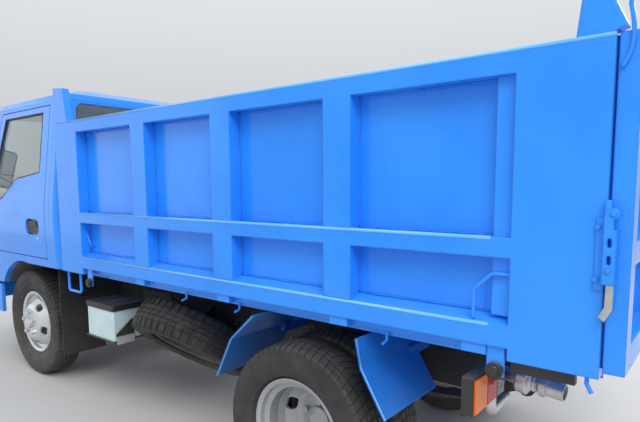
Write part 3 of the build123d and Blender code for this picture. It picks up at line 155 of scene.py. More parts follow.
def dusty(graph, base, low, high, amount, upward=0.25):
    """Base colour with dust that thickens from height high down to low and on upward faces.

    Returns the new colour and how much dust lies there.
    """
    fall = graph.ramp(graph.height(), low, high, amount, 0.02)
    shelf = graph.math("MULTIPLY", graph.ramp(graph.upward(), 0.5, 1.0), upward)
    patches = graph.ramp(graph.noise(5, 6, 0.6), 0.3, 0.75, 0.45, 1.2)
    factor = graph.math("MULTIPLY", graph.math("ADD", fall, shelf), patches)
    return graph.mix(graph.math("MINIMUM", factor, 0.9), base, DUST), factor


def paint(name, colour, tint, low, high, dust, rough, coat, rust=0.0):
    """Sprayed paint with fine scratches, and dust between the heights low and high."""
    graph = Graph(name)
    base = graph.mix(graph.ramp(graph.noise(2.3, 5), 0.35, 0.7), colour, tint)
    scratch = graph.ramp(graph.noise(60, 3, 0.5, (1, 1, 9)), 0.68, 0.74)
    base = graph.mix(graph.math("MULTIPLY", scratch, 0.12), base, BARE)
    if rust:
        spots = graph.ramp(graph.noise(14, 8, 0.65), 0.64, 0.7)
        base = graph.mix(graph.math("MULTIPLY", spots, rust), base, RUST)
    base, factor = dusty(graph, base, low, high, dust, 1.5 * dust)
    gloss = graph.math("ADD", graph.ramp(graph.noise(9, 5), 0.3, 0.8, rough, rough + 0.12),
                       graph.math("MULTIPLY", factor, 0.45))
    graph.rounded(PAINT_FOLD)
    graph.bump(graph.noise(150, 2), 0.04, 0.002)
    graph.bump(graph.noise(3, 2), 0.1, 0.01)
    return graph.done(base, gloss, Coat_Weight=coat, Coat_Roughness=0.14, Specular_IOR_Level=0.25)


def metal(name, colour, tint, rough, metallic, dust, rust=0.0):
    """Bare, cast or plated metal with a fine grain."""
    graph = Graph(name)
    base = graph.mix(graph.ramp(graph.noise(7, 6), 0.35, 0.7), colour, tint)
    grain = graph.noise(90, 4, 0.6)
    if rust:
        spots = graph.ramp(graph.noise(18, 8, 0.7), 0.5, 0.66)
        base = graph.mix(graph.math("MULTIPLY", spots, rust), base, RUST)
    base = dusty(graph, base, 0.0, 0.9, dust)[0]
    graph.rounded(METAL_FOLD)
    graph.bump(grain, 0.08, 0.002)
    return graph.done(base, graph.ramp(grain, 0.3, 0.8, rough, rough + 0.15), Metallic=metallic)


def plastic(name, colour, tint, rough, dust=0.15, grain=220):
    """Moulded plastic or vinyl with a pressed grain."""
    graph = Graph(name)
    base = graph.mix(graph.ramp(graph.noise(6, 5), 0.35, 0.7), colour, tint)
    base = dusty(graph, base, 0.2, 1.2, dust)[0]
    graph.rounded(PLASTIC_FOLD)
    graph.bump(graph.noise(grain, 2), 0.15, 0.001)
    return graph.done(base, graph.ramp(graph.noise(30, 4), 0.3, 0.8, rough, rough + 0.15))


def rubber(name):
    """Tyre rubber, dusty towards the ground."""
    graph = Graph(name)
    fresh, worn = rgb(0.012, 0.012, 0.013), rgb(0.03, 0.029, 0.028)
    base = graph.mix(graph.ramp(graph.noise(9, 6), 0.3, 0.75), fresh, worn)
    base = dusty(graph, base, 0.0, 0.6, 0.16, 0.05)[0]
    graph.bump(graph.noise(120, 4), 0.2, 0.002)
    return graph.done(base, graph.ramp(graph.noise(25, 4), 0.3, 0.8, 0.55, 0.85))


def glass(name, colour, rough, transmission, film_colour=DUST):
    """Glass or a lens with a thin film of dirt."""
    graph = Graph(name)
    film = graph.ramp(graph.noise(4, 6, 0.6), 0.45, 0.8)
    base = graph.mix(graph.math("MULTIPLY", film, 0.25), colour, film_colour)
    graph.bump(graph.noise(1.2, 2), 0.03, 0.01)
    gloss = graph.ramp(film, 0, 1, rough, rough + 0.04)
    return graph.done(base, gloss, Transmission_Weight=transmission, IOR=1.45)


BLUE = rgb(0.022, 0.285, 0.96)
BLUE_DEEP = rgb(0.014, 0.25, 0.9)
# paint: colour, tint, low, high, dust, roughness, coat, rust
# metal: colour, tint, roughness, metallic, dust, rust
# plastic: colour, tint, roughness, dust, grain
# glass: colour, roughness, transmission, film colour
looks = {
    "blue": paint("blue paint", BLUE, BLUE_DEEP, 0.75, 1.0, 0.04, 0.18, 0.35),
    # guard: a darker copy of the blue paint, painted shade on the mudguards and slit lips; its dust is real
    "guard": paint("guard paint with painted shade", rgb(0.008, 0.16, 0.62), rgb(0.006, 0.13, 0.5), 0.3, 0.75, 0.12, 0.3, 0.2),
    "bead": paint("painted weld", rgb(0.03, 0.32, 0.96), rgb(0.02, 0.26, 0.9), 0.75, 1.0, 0.03, 0.25, 0.4),
    # edge: a lighter copy of the blue paint, a painted highlight on the rolled rail and mudguard edges
    "edge": paint("painted highlight edge", rgb(0.17, 0.52, 0.98), rgb(0.12, 0.47, 0.96), 0.75, 1.0, 0.0, 0.15, 0.5),
    "worn": metal("worn rim", rgb(0.06, 0.06, 0.062), rgb(0.1, 0.095, 0.09), 0.5, 0.4, 0.35, 0.3),
    "lever": metal("lever grey", rgb(0.55, 0.57, 0.58), rgb(0.4, 0.41, 0.42), 0.3, 0.7, 0.1, 0.15),
    "frame": paint("frame paint", rgb(0.01, 0.011, 0.014), rgb(0.016, 0.016, 0.019), 0.2, 0.8, 0.12, 0.45,
                   0.05, 0.12),
    "steel": metal("axle steel", rgb(0.05, 0.05, 0.052), rgb(0.09, 0.085, 0.08), 0.5, 0.5, 0.4, 0.25),
    "cast": metal("engine castings", rgb(0.22, 0.23, 0.24), rgb(0.14, 0.14, 0.145), 0.5, 0.6, 0.3, 0.15),
    "wheel": metal("wheel silver", rgb(0.66, 0.68, 0.7), rgb(0.6, 0.62, 0.64), 0.26, 0.55, 0.03),
    # Rear rims: a darker copy of the wheel silver, painted shade under the bed
    "wheel_silver_painted_shade": metal("rear wheel silver with painted shade", rgb(0.45, 0.46, 0.48), rgb(0.38, 0.39, 0.4), 0.34, 0.5, 0.06),
    "exhaust": metal("exhaust steel", rgb(0.68, 0.68, 0.69), rgb(0.5, 0.49, 0.48), 0.27, 0.8, 0.02, 0.03),
    "chrome": metal("bright steel", rgb(0.7, 0.7, 0.72), rgb(0.6, 0.6, 0.62), 0.12, 1.0, 0.05),
    "black": plastic("black plastic", rgb(0.012, 0.012, 0.013), rgb(0.02, 0.02, 0.02), 0.42, 0.06),
    "trim": plastic("grey trim", rgb(0.1, 0.1, 0.105), rgb(0.13, 0.13, 0.13), 0.5),
    "pale": plastic("battery case", rgb(0.6, 0.78, 0.8), rgb(0.5, 0.68, 0.72), 0.3),
    "vinyl": plastic("seat vinyl", rgb(0.035, 0.036, 0.04), rgb(0.055, 0.055, 0.06), 0.45, 0.05, 90),
    "tyre": rubber("tyre rubber"),
    "glass": glass("window glass", rgb(0.55, 0.62, 0.62), 0.0, 0.9),
    "clear": glass("lamp glass", rgb(0.95, 0.96, 0.98), 0.0, 0.95),
    "red": glass("red lens", rgb(0.62, 0.02, 0.015), 0.1, 0.15, rgb(0.4, 0.05, 0.03)),
    "amber": glass("amber lens", rgb(0.9, 0.2, 0.01), 0.1, 0.15, rgb(0.5, 0.15, 0.03)),
    "seal": plastic("rubber seal", rgb(0.015, 0.015, 0.016), rgb(0.03, 0.03, 0.03), 0.5, 0.05),
    "plate": metal("blank plate", rgb(0.66, 0.67, 0.68), rgb(0.56, 0.57, 0.58), 0.35, 0.5, 0.1),
}

# Mudguards take a darker copy of the blue paint, painted shade
node_looks = {
    "frame_rails": "frame", "cross_members": "frame", "frame_brackets": "frame", "front_axle": "steel",
    "rear_axle": "steel", "leaf_springs": "steel", "engine": "cast", "propeller_shaft": "steel",
    "fuel_tank": "frame", "battery_case": "pale", "battery_tray": "black", "spare_rim": "worn",
    "mudguards": "guard", "splash_guards": "black", "exhaust": "exhaust", "tail_lamps": "black",
    "cab_floor": "trim", "cab_glass": "glass", "grille": "black", "headlamps": "clear", "seats": "vinyl",
    "dashboard": "trim", "mirrors": "black", "steering_wheel": "black", "tie_rod": "steel",
    "hoist_barrel": "frame", "hoist_rod": "chrome", "latch_levers": "lever", "marker_lamps": "black",
}
# Rear rims take a darker copy of the wheel silver, painted shade
WORD_LOOKS = (("glass", "glass"), ("tyre", "tyre"), ("rear_rims", "wheel_silver_painted_shade"), ("rim", "wheel"),
              ("knuckle", "steel"))


def look_for(name):
    """A node's finish: by its own name, or else by a word in it."""
    if name in node_looks:
        return node_looks[name]
    for word, look in WORD_LOOKS:
        if word in name:
            return look
    return "blue"


for name, thing in nodes.items():
    thing.data.materials.clear()
    thing.data.materials.append(looks[look_for(name)])

# Pieces added to the solid parts


def piece(name, vertices, faces, body, look, smooth=False):
    """A mesh of its own that rides a body and takes the finish of the given look."""
    mesh = bpy.data.meshes.new(name)
    mesh.from_pydata([tuple(v) for v in vertices], [], faces)
    work = bmesh.new()
    work.from_mesh(mesh)
    bmesh.ops.recalc_face_normals(work, faces=work.faces)
    work.to_mesh(mesh)
    work.free()
    mesh.polygons.foreach_set("use_smooth", [smooth] * len(mesh.polygons))
    mesh.materials.append(looks[look])
    thing = bpy.data.objects.new(name, mesh)
    bpy.context.collection.objects.link(thing)
    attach(thing, body)
    return thing


def ring_faces(count, sides, closed=False):
    """Faces that join each of count rings to the next, and the last to the first where closed."""
    faces = []
    for ring in range(count if closed else count - 1):
        one, two = ring * sides, (ring + 1) % count * sides
        faces += [(one + k, one + (k + 1) % sides, two + (k + 1) % sides, two + k) for k in range(sides)]
    return faces


def end_faces(count, sides):
    """The two faces that close the first and last of count rings."""
    return [tuple(range(sides))[::-1], tuple(range((count - 1) * sides, count * sides))]


def circle(centre, across, other, radius, sides, turn=0.0):
    """Points round centre, in the plane of two directions at right angles."""
    angles = [turn + math.tau * k / sides for k in range(sides)]
    return [centre + (across * math.cos(angle) + other * math.sin(angle)) * radius for angle in angles]


class Heap:
    """Vertices and faces of many small solids, gathered into one piece."""

    def __init__(self):
        self.vertices = []
        self.faces = []

    def add(self, vertices, faces):
        start = len(self.vertices)
        self.vertices += [Vector(v) for v in vertices]
        self.faces += [tuple(index + start for index in face) for face in faces]

    def box(self, low, high):
        (x0, y0, z0), (x1, y1, z1) = low, high
        self.add([(x0, y0, z0), (x1, y0, z0), (x1, y1, z0), (x0, y1, z0),
                  (x0, y0, z1), (x1, y0, z1), (x1, y1, z1), (x0, y1, z1)],
                 [(0, 3, 2, 1), (4, 5, 6, 7), (0, 1, 5, 4), (1, 2, 6, 5), (2, 3, 7, 6), (3, 0, 4, 7)])

    def prism(self, place, axis, radius, length, sides, turn=0.0, taper=1.0):
        """A round or many-sided bar from place along axis."""
        axis = Vector(axis).normalized()
        across = axis.orthogonal().normalized()
        other = axis.cross(across)
        rings = []
        for step, size in ((0, 1.0), (length, taper)):
            rings += circle(Vector(place) + axis * step, across, other, radius * size, sides, turn)
        self.add(rings, end_faces(2, sides) + ring_faces(2, sides))

    def tube(self, points, radius, sides=8, wobble=0.0, closed=False, seed=1):
        """A tube along points; wobble varies its radius as a hand-laid bead does."""
        spread = random.Random(seed)
        points = [Vector(p) for p in points]
        count = len(points)
        rings = []
        for index, point in enumerate(points):
            ahead = points[(index + 1) % count] if closed else points[min(index + 1, count - 1)]
            behind = points[index - 1] if closed else points[max(index - 1, 0)]
            run = (ahead - behind).normalized()
            across = run.cross(Vector((0, 0, 1)))
            if across.length < 0.3:
                across = run.cross(Vector((0, 1, 0)))
            across = across.normalized()
            size = radius * (1 + wobble * spread.uniform(-1, 1))
            rings += circle(point, across, run.cross(across), size, sides)
        faces = ring_faces(count, sides, closed)
        if not closed:
            faces += end_faces(count, sides)
        self.add(rings, faces)

    def mirror(self):
        """The same again on the truck's other side."""
        count = len(self.vertices)
        self.vertices += [Vector((v.x, -v.y, v.z)) for v in self.vertices]
        self.faces += [tuple(index + count for index in face[::-1]) for face in self.faces]

    def piece(self, name, body, look, slot, smooth=False):
        return piece(name, self.vertices, self.faces, body, look, smooth)


def dots(start, end, step):
    """Points from start to end, about step apart."""
    start, end = Vector(start), Vector(end)
    count = max(2, round((end - start).length / step))
    return [start.lerp(end, k / count) for k in range(count + 1)]


def sides_of(corners):
    """Pairs of neighbouring corners, all the way round."""
    return zip(corners, corners[1:] + corners[:1])


# Tyres: the tread is cut into the tyre's own outline, so it stays inside it
HANDS = (("left", 1), ("right", -1))
TYRE_W = 0.185
RIM_SEAT = 0.2035
SIDEWALL, TREAD, GROOVE = 0, 1, 2
# Grooves round the tyre: inner and outer edge
GROOVES = ((0.038, 0.0445), (0.0105, 0.0165))
GROOVE_DEPTH = 0.007
GROOVE_TAPER = 0.0012
CROWN = 0.008
TREAD_EDGE = TYRE_W / 2 * 0.82
LUG_SHOULDER = 0.044
LUG_DEPTH, LUG_MIDDLE_DEPTH = 0.009, 0.004
SIPE_DEPTH, SIPE_FREE = 0.005, 0.004
SIPE_SLANT = 9
# Rings of points in one pitch, as shares of it, and which of them are cut
LUG_STEPS = (0.0, 0.05, 0.62, 0.67)
SIPE_STEPS = (0.0, 0.02, 0.86, 0.88)
CUT_STEPS = (0, 3)


def tyre_profile(radius):
    """Half outline (along the axle, radius, zone) from the bead to the middle of the tread."""
    wall = TYRE_W / 2
    outline = [(0.0595, RIM_SEAT), (0.0597, 0.219), (0.071, 0.226), (wall - 0.0135, radius - 0.125),
               (wall - 0.006, radius - 0.108), (wall - 0.0035, radius - 0.1), (wall - 0.0028, radius - 0.092),
               (wall, radius - 0.074), (wall - 0.0006, radius - 0.05), (wall - 0.0022, radius - 0.036)]
    shoulder = [(wall * 0.955, radius - 0.021), (wall * 0.9, radius - 0.0125), (TREAD_EDGE, radius - CROWN)]
    profile = [(y, r, SIDEWALL) for y, r in outline] + [(y, r, TREAD) for y, r in shoulder]
    for inner, outer in GROOVES:
        inner_r, outer_r = (radius - CROWN * (y / TREAD_EDGE) ** 2 for y in (inner, outer))
        profile += [(outer, outer_r, TREAD), (outer - GROOVE_TAPER, outer_r - GROOVE_DEPTH, GROOVE),
                    (inner + GROOVE_TAPER, inner_r - GROOVE_DEPTH, GROOVE), (inner, inner_r, TREAD)]
    return profile


def cut_depth(y, lugs):
    """How deep the tread is cut at y across the tyre, at the edge of a lug or sipe."""
    if lugs:
        return LUG_DEPTH if abs(y) > LUG_SHOULDER else LUG_MIDDLE_DEPTH
    return SIPE_DEPTH if abs(y) > SIPE_FREE else 0.0


def cut_turn(y, lugs):
    """How far round a lug or sipe lies at y, in pitches: lugs alternate, sipes slant."""
    if lugs:
        return 0.5 if y < 0 else 0.0
    return abs(y) * SIPE_SLANT


def tyre_piece(name, centres, turn, radius, pitches, lugs, body, replaced):
    """Tyres of one wheel, with shoulder lugs or sipes cut pitches times round."""
    half = tyre_profile(radius)
    outline = [(-y, r, zone) for y, r, zone in half] + [(y, r, zone) for y, r, zone in reversed(half)]
    steps = LUG_STEPS if lugs else SIPE_STEPS
    heap = Heap()
    for centre in centres:
        vertices = []
        for pitch in range(pitches):
            for place, step in enumerate(steps):
                for y, r, zone in outline:
                    angle = math.tau * (pitch + step + cut_turn(y, lugs)) / pitches
                    if zone == TREAD and place in CUT_STEPS:
                        r -= cut_depth(y, lugs)
                    point = Vector((math.cos(angle) * r, y, math.sin(angle) * r))
                    vertices.append(turn @ point + Vector(centre))
        heap.add(vertices, ring_faces(pitches * len(steps), len(outline), True))
    thing = heap.piece(name, body, "tyre", "tyre")
    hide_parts(replaced)


FRONT_X, FRONT_Y, FRONT_R, FRONT_PITCHES = 1.35, 0.65, 0.372, 68
REAR_X, REAR_YS, REAR_R, REAR_PITCHES = -1.18, (0.755, 0.54), 0.354, 66
SPARE_AT, SPARE_R, SPARE_PITCHES = (-0.1, 0.466, 0.459), 0.35, 46
LEVEL = Matrix.Identity(3)
SPARE_TURN = Matrix.Rotation(math.radians(37), 3, "X") @ Matrix.Rotation(math.radians(90), 3, "X")
for hand, side in HANDS:
    tyre_piece(f"front_tread_{hand}", [(FRONT_X, side * FRONT_Y, FRONT_R)], LEVEL, FRONT_R, FRONT_PITCHES,
               False, f"front_wheel_{hand}", f"front_tyre_{hand}")
    tyre_piece(f"rear_tread_{hand}", [(REAR_X, side * y, REAR_R) for y in REAR_YS], LEVEL, REAR_R,
               REAR_PITCHES, False, f"rear_wheels_{hand}", f"rear_tyres_{hand}")
tyre_piece("spare_tread", [SPARE_AT], SPARE_TURN, SPARE_R, SPARE_PITCHES, True, "chassis", "spare_tyre")

# Weld beads round the side panels' bays
PANEL_Y = 0.756
BAY_ENDS = ((-1.936, -1.438), (-1.317, -0.824), (-0.7, -0.208), (-0.087, 0.46))
BAY_LEVELS = ((0.942, 1.112), (1.176, 1.626))
BEAD_R, BEAD_STEP, BEAD_WOBBLE = 0.0028, 0.011, 0.35
welds = Heap()
for back, front in BAY_ENDS:
    for low, high in BAY_LEVELS:
        corners = [(x, PANEL_Y, z) for x, z in ((back, low), (front, low), (front, high), (back, high))]
        for start, end in sides_of(corners):
            seed = round(1000 * abs(start[0]) + 10 * start[2])
            welds.tube(dots(start, end, BEAD_STEP), BEAD_R, 5, BEAD_WOBBLE, seed=seed)
welds.mirror()
welds.piece("side_welds", "bed", "bead", "blue_paint", True)

# Rounded upper edges of the side's rails in a lighter blue, a painted highlight where the paint shines: back
# end, front end, height
RAIL_Y = 0.8062
RAIL_EDGE_R = 0.0062
RAIL_EDGES = ((-1.936, 0.46, 1.17), (-1.936, 0.46, 0.913), (-2.2345, 0.6795, 1.691))
edges = Heap()
for back, front, edge_z in RAIL_EDGES:
    edges.tube([(back, RAIL_Y, edge_z), (front, RAIL_Y, edge_z)], RAIL_EDGE_R, 12)
edges.mirror()
edges.piece("rail_edges_painted_highlight", "bed", "edge", "blue_paint", True)

# Tail lamp lenses with fluting, on a thin backing: look, inner edge, outer edge
LENSES = (("amber", 0.69, 0.782), ("red", 0.604, 0.684), ("clear", 0.532, 0.598))
LENS_BACK, LENS_FRONT = -1.8965, -1.8895
BACKING_XS, BACKING_ZS, BACKING_LIP = (-1.8945, -1.8897), (0.6105, 0.7212), 0.002
FLUTES, FLUTE_FOOT, FLUTE_PITCH, FLUTE_H = 10, 0.612, 0.0109, 0.0101
for lens, inner, outer in LENSES:
    lamps = Heap()
    for row in range(FLUTES):
        low = FLUTE_FOOT + FLUTE_PITCH * row
        lamps.box((LENS_BACK, inner, low), (LENS_FRONT, outer, low + FLUTE_H))
    lamps.box((BACKING_XS[0], inner - BACKING_LIP, BACKING_ZS[0]),
              (BACKING_XS[1], outer + BACKING_LIP, BACKING_ZS[1]))
    lamps.mirror()
    lamps.piece(f"tail_{lens}", "chassis", lens, "lamp_red")

# Seats: stuffed cushions with stitched channels, for the driver and on a bench
CUSHION_STEPS = 26
SQUARENESS = 7
CHANNELS, CHANNEL_DIP, CHANNEL_SHARPNESS = 5, 0.1, 14
BORDER, BORDER_DIP = (0.76, 0.8), 0.16
STUFFED_FACE = 0.9
SEATS = (("driver", -0.34, 0.246), ("bench", 0.235, 0.316))
BASE_X, BASE_Z, BASE_HALF_L, BASE_HALF_H = 1.11, 1.05, 0.226, 0.058
BACK_X, BACK_Z, BACK_HALF_T, BACK_HALF_H, BACK_LEAN = 0.926, 1.368, 0.044, 0.262, 0.07


def stitched(x, y, z, looks_up):
    """A point of the unit cushion, pressed in at the channels and the border of its face."""
    along, face = (x, z) if looks_up else (z, x)
    dip = 0.0
    if face > STUFFED_FACE:
        seam = abs(math.cos(math.pi * CHANNELS * (y + 1) / 2)) ** CHANNEL_SHARPNESS
        in_border = BORDER[0] < max(abs(along), abs(y)) < BORDER[1]
        dip = CHANNEL_DIP * seam + (BORDER_DIP if in_border else 0.0)
    return (x, y, z - dip) if looks_up else (x - dip, y, z)


def cushion(name, centre, half, lean, looks_up):
    """A rounded cushion with half sizes half, leant back by lean radians."""
    count = CUSHION_STEPS
    row = count + 1
    turn = Matrix.Rotation(-lean, 3, "Y")
    squares = [(u * row + v, u * row + v + 1, (u + 1) * row + v + 1, (u + 1) * row + v)
               for u in range(count) for v in range(count)]
    heap = Heap()
    for axis in range(3):
        for sign in (-1, 1):
            grid = []
            for u in range(row):
                for v in range(row):
                    point = [0.0, 0.0, 0.0]
                    point[axis] = sign
                    point[(axis + 1) % 3] = 2 * u / count - 1
                    point[(axis + 2) % 3] = 2 * v / count - 1
                    size = sum(abs(c) ** SQUARENESS for c in point) ** (1 / SQUARENESS)
                    shaped = stitched(*(c / size for c in point), looks_up)
                    grid.append(turn @ Vector([c * h for c, h in zip(shaped, half)]) + Vector(centre))
            heap.add(grid, squares)
    thing = heap.piece(name, "cab", "vinyl", "seat_vinyl", True)
    weld = thing.modifiers.new("joined", "WELD")
    weld.merge_threshold = 0.0005
    return thing


cushions = []
for seat, seat_y, half_w in SEATS:
    cushions += [
        cushion(f"seat_{seat}_base", (BASE_X, seat_y, BASE_Z), (BASE_HALF_L, half_w, BASE_HALF_H), 0.0, True),
        cushion(f"seat_{seat}_back", (BACK_X, seat_y, BACK_Z), (BACK_HALF_T, half_w, BACK_HALF_H),
                BACK_LEAN, False)]
for thing in cushions:
    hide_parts("seats")

# Door furniture: dark flap in the handle pocket, lock, and the window's seal
DOOR_SKIN = 0.7895
LOCK_X, LOCK_Z = 1.075, 0.985
BELT_Y, BELT_Z, ROOF_Y, ROOF_Z = 0.780, 1.262, 0.706, 1.865
SEAL_Y, SEAL_R, SEAL_STEP = 0.7762, 0.0055, 0.03
DOOR_LEAN = (BELT_Y - ROOF_Y) / (ROOF_Z - BELT_Z)
# Corners (x, z) of the door's window
WINDOW = [(1.0555, 1.7945), (1.0555, 1.4135), (1.414, 1.3735), (1.632, 1.2375), (1.8105, 1.2375),
          (1.8105, 1.3), (1.6395, 1.7945)]
for hand, side in HANDS:
    flap = Heap()
    flap.box((1.064, side * (DOOR_SKIN - 0.018), 1.018), (1.228, side * (DOOR_SKIN - 0.006), 1.098))
    flap.box((1.09, side * (DOOR_SKIN - 0.012), 1.062), (1.2, side * (DOOR_SKIN - 0.002), 1.094))
    flap.piece(f"door_flap_{hand}", f"door_{hand}", "black", "black_plastic")
    lock = Heap()
    lock.prism((LOCK_X, side * (DOOR_SKIN - 0.003), LOCK_Z), (0, side, 0), 0.013, 0.003, 20)
    lock.prism((LOCK_X, side * DOOR_SKIN, LOCK_Z), (0, side, 0), 0.009, 0.0016, 16)
    lock.piece(f"door_lock_{hand}", f"door_{hand}", "chrome", "lever_grey")
    line = []
    for (x0, z0), (x1, z1) in sides_of(WINDOW):
        line += dots((x0, 0, z0), (x1, 0, z1), SEAL_STEP)[:-1]
    line = [(p.x, side * (SEAL_Y - DOOR_LEAN * (p.z - BELT_Z)), p.z) for p in line]
    seal = Heap()
    seal.tube(line, SEAL_R, 6, closed=True)
    seal.piece(f"window_seal_{hand}", f"door_{hand}", "seal", "black_plastic", True)

# Battery: two straps over the lid, a blank plate on the case's rear face and its bracket
STRAP_XS, STRAP_W = (0.345, 0.485), 0.02
STRAP_YS, STRAP_ZS = (0.552, 0.7485), (0.6375, 0.6405)
PLATE_X, PLATE_T, BRACKET_T = 0.2625, 0.002, 0.003
# Corners (y, z) of the bracket
BRACKET = ((0.7305, 0.4585), (0.62, 0.4585), (0.616, 0.545), (0.633, 0.549), (0.72, 0.482), (0.7345, 0.474))
battery = Heap()
for strap_x in STRAP_XS:
    battery.box((strap_x, STRAP_YS[0], STRAP_ZS[0]), (strap_x + STRAP_W, STRAP_YS[1], STRAP_ZS[1]))
battery.piece("battery_straps", "chassis", "steel", "dark_steel")
plate = Heap()
plate.box((PLATE_X, 0.62, 0.411), (PLATE_X + PLATE_T, 0.7305, 0.4565))
plate.piece("battery_plate", "chassis", "plate", "lever_grey")
bracket = Heap()
bracket.add([(x, y, z) for x in (PLATE_X, PLATE_X + BRACKET_T) for y, z in BRACKET],
            end_faces(2, len(BRACKET)) + ring_faces(2, len(BRACKET)))
bracket.piece("battery_bracket", "chassis", "black", "black_plastic")

# Flat straps from the tailgate arms, bent down onto the gate's side edges
GATE_Y = 0.8005
GATE_STRAP_HALF_W, GATE_STRAP_T = 0.005, 0.007
STRAP_BEND = ((-2.302, 0.772, 1.79), (-2.286, 0.787, 1.79), (-2.27, 0.8, 1.786))
STRAP_DROP = ((-2.262, 1.772), (-2.262, 1.755), (-2.266, 1.735), (-2.27, 1.71), (-2.272, 1.68),
              (-2.27, 1.66), (-2.266, 1.642), (-2.259, 1.625), (-2.25, 1.61))
strap_line = [Vector(p) for p in STRAP_BEND] + [Vector((x, GATE_Y, z)) for x, z in STRAP_DROP]
strap_out = Vector((0, GATE_STRAP_T, 0))
corners = []
for index, place in enumerate(strap_line):
    run = strap_line[min(index + 1, len(strap_line) - 1)] - strap_line[max(index - 1, 0)]
    edge = Vector((-run.z, 0, run.x)).normalized() * GATE_STRAP_HALF_W
    corners += [place - edge, place + edge, place + edge + strap_out, place - edge + strap_out]
straps = Heap()
straps.add(corners, end_faces(len(strap_line), 4) + ring_faces(len(strap_line), 4))
straps.mirror()
straps.piece("gate_straps", "tailgate", "blue", "blue_paint")

# Folded lips of the side plates that close the slit in front of the tailgate, in a darker blue as painted
# shade in the slit
lips = Heap()
lips.box((-2.2385, 0.755, 0.84), (-2.2345, 0.788, 1.69))
lips.mirror()
lips.piece("slit_lips", "bed", "guard", "blue_paint")

# Rolled outer edges of the mudguards before and behind the rear wheels, in a lighter blue as a painted
# highlight
GUARD_Y, GUARD_ROLL_R = 0.8252, 0.0047
GUARD_BENDS = (((-0.9583, 0.7905), (-0.822, 0.6695), (-0.7248, 0.4862)),
               ((-1.4726, 0.7885), (-1.4947, 0.6841), (-1.5949, 0.5225)))
rolls = Heap()
for bends in GUARD_BENDS:
    rolls.tube([(x, GUARD_Y, z) for x, z in bends], GUARD_ROLL_R, 10)
rolls.mirror()
rolls.piece("mudguard_rolls_painted_highlight", "chassis", "edge", "blue_paint")

# Lashing rings inside the foremost bays
RING_LINE = ((0.467, 0.7575, 1.076), (0.462, 0.775, 1.066), (0.438, 0.777, 1.025), (0.421, 0.775, 0.984),
             (0.418, 0.7575, 0.974))
RING_R = 0.005
rings = Heap()
rings.tube(RING_LINE, RING_R)
rings.mirror()
rings.piece("lashing_rings", "bed", "blue", "blue_paint", True)

# Wipers on the windscreen
WIPER_YS, WIPER_REACH = (-0.28, 0.34), 0.32
PIVOT_X, PIVOT_Z, TIP_X, TIP_Z = 2.2305, 1.268, 2.131, 1.438
ARM_R, BLADE_R, CAP_R, CAP_L = 0.0045, 0.0055, 0.013, 0.022
ARM_BOW = Vector((0.004, 0, 0.002))
BLADE_SHIFT = Vector((0.001, -0.1, 0.05))
CAP_SINK = Vector((-0.012, 0, -0.008))
GLASS_OUT = (0.8, 0, 0.45)
wipers = Heap()
for wiper_y in WIPER_YS:
    pivot = Vector((PIVOT_X, wiper_y, PIVOT_Z))
    tip = Vector((TIP_X, wiper_y + WIPER_REACH, TIP_Z))
    wipers.tube([pivot, pivot.lerp(tip, 0.45) + ARM_BOW, tip], ARM_R)
    wipers.tube([pivot.lerp(tip, 0.5) + BLADE_SHIFT, pivot.lerp(tip, 0.93)], BLADE_R, 6)
    wipers.prism(pivot + CAP_SINK, GLASS_OUT, CAP_R, CAP_L, 16)
wipers.piece("wipers", "cab", "seal", "black_plastic", True)

# Headlamps: bright bowls with rims on a black back behind the lens, and fluted corner lamps
LAMP_X, LAMP_Z, LAMP_YS = 2.302, 0.785, (0.515, 0.617)
BOWL_X, LAMP_RIM_X = LAMP_X + 0.0092, LAMP_X + 0.009
LAMP_BACK = ((LAMP_X + 0.0006, 0.436, 0.711), (LAMP_X + 0.0016, 0.668, 0.859))
BOWL_R, BOWL_DEPTH, BOWL_RINGS, BOWL_SIDES, BOWL_MIDDLE = 0.047, 0.007, 6, 28, 0.08
LAMP_RIM_R, LAMP_RIM_T, LAMP_RIM_SIDES = 0.049, 0.0018, 36
CORNER_XS, CORNER_YS = (LAMP_X + 0.001, LAMP_X + 0.0105), (0.672, 0.696)
CORNER_FLUTES, CORNER_FOOT, CORNER_PITCH, CORNER_FLUTE_H = 7, 0.713, 0.0205, 0.0195
TO_LEFT, UP = Vector((0, 1, 0)), Vector((0, 0, 1))


def bowl(heap, centre):
    """A shallow reflector that opens forward; its rings grow from the middle to the rim."""
    vertices = []
    for ring in range(BOWL_RINGS + 1):
        angle = math.pi / 2 * ring / BOWL_RINGS
        size = BOWL_R * (math.sin(angle) if ring else BOWL_MIDDLE)
        back = Vector((BOWL_DEPTH * math.cos(angle), 0, 0))
        vertices += circle(centre - back, TO_LEFT, UP, size, BOWL_SIDES)
    heap.add(vertices, ring_faces(BOWL_RINGS + 1, BOWL_SIDES) + [tuple(range(BOWL_SIDES))])


bowls = Heap()
for lamp_y in LAMP_YS:
    bowl(bowls, Vector((BOWL_X, lamp_y, LAMP_Z)))
bowls.mirror()
bowls.piece("headlamp_bowls", "cab", "chrome", "rod_chrome", True)
backs = Heap()
backs.box(*LAMP_BACK)
backs.mirror()
backs.piece("headlamp_backs", "cab", "black", "black_plastic")
rims = Heap()
for lamp_y in LAMP_YS:
    rim_line = circle(Vector((LAMP_RIM_X, lamp_y, LAMP_Z)), TO_LEFT, UP, LAMP_RIM_R, LAMP_RIM_SIDES)
    rims.tube(rim_line, LAMP_RIM_T, 6, closed=True)
rims.mirror()
rims.piece("headlamp_rims", "cab", "chrome", "rod_chrome", True)
corner = Heap()
for row in range(CORNER_FLUTES):
    low = CORNER_FOOT + CORNER_PITCH * row
    corner.box((CORNER_XS[0], CORNER_YS[0], low), (CORNER_XS[1], CORNER_YS[1], low + CORNER_FLUTE_H))
corner.mirror()
corner.piece("corner_lamps", "cab", "amber", "lamp_red")

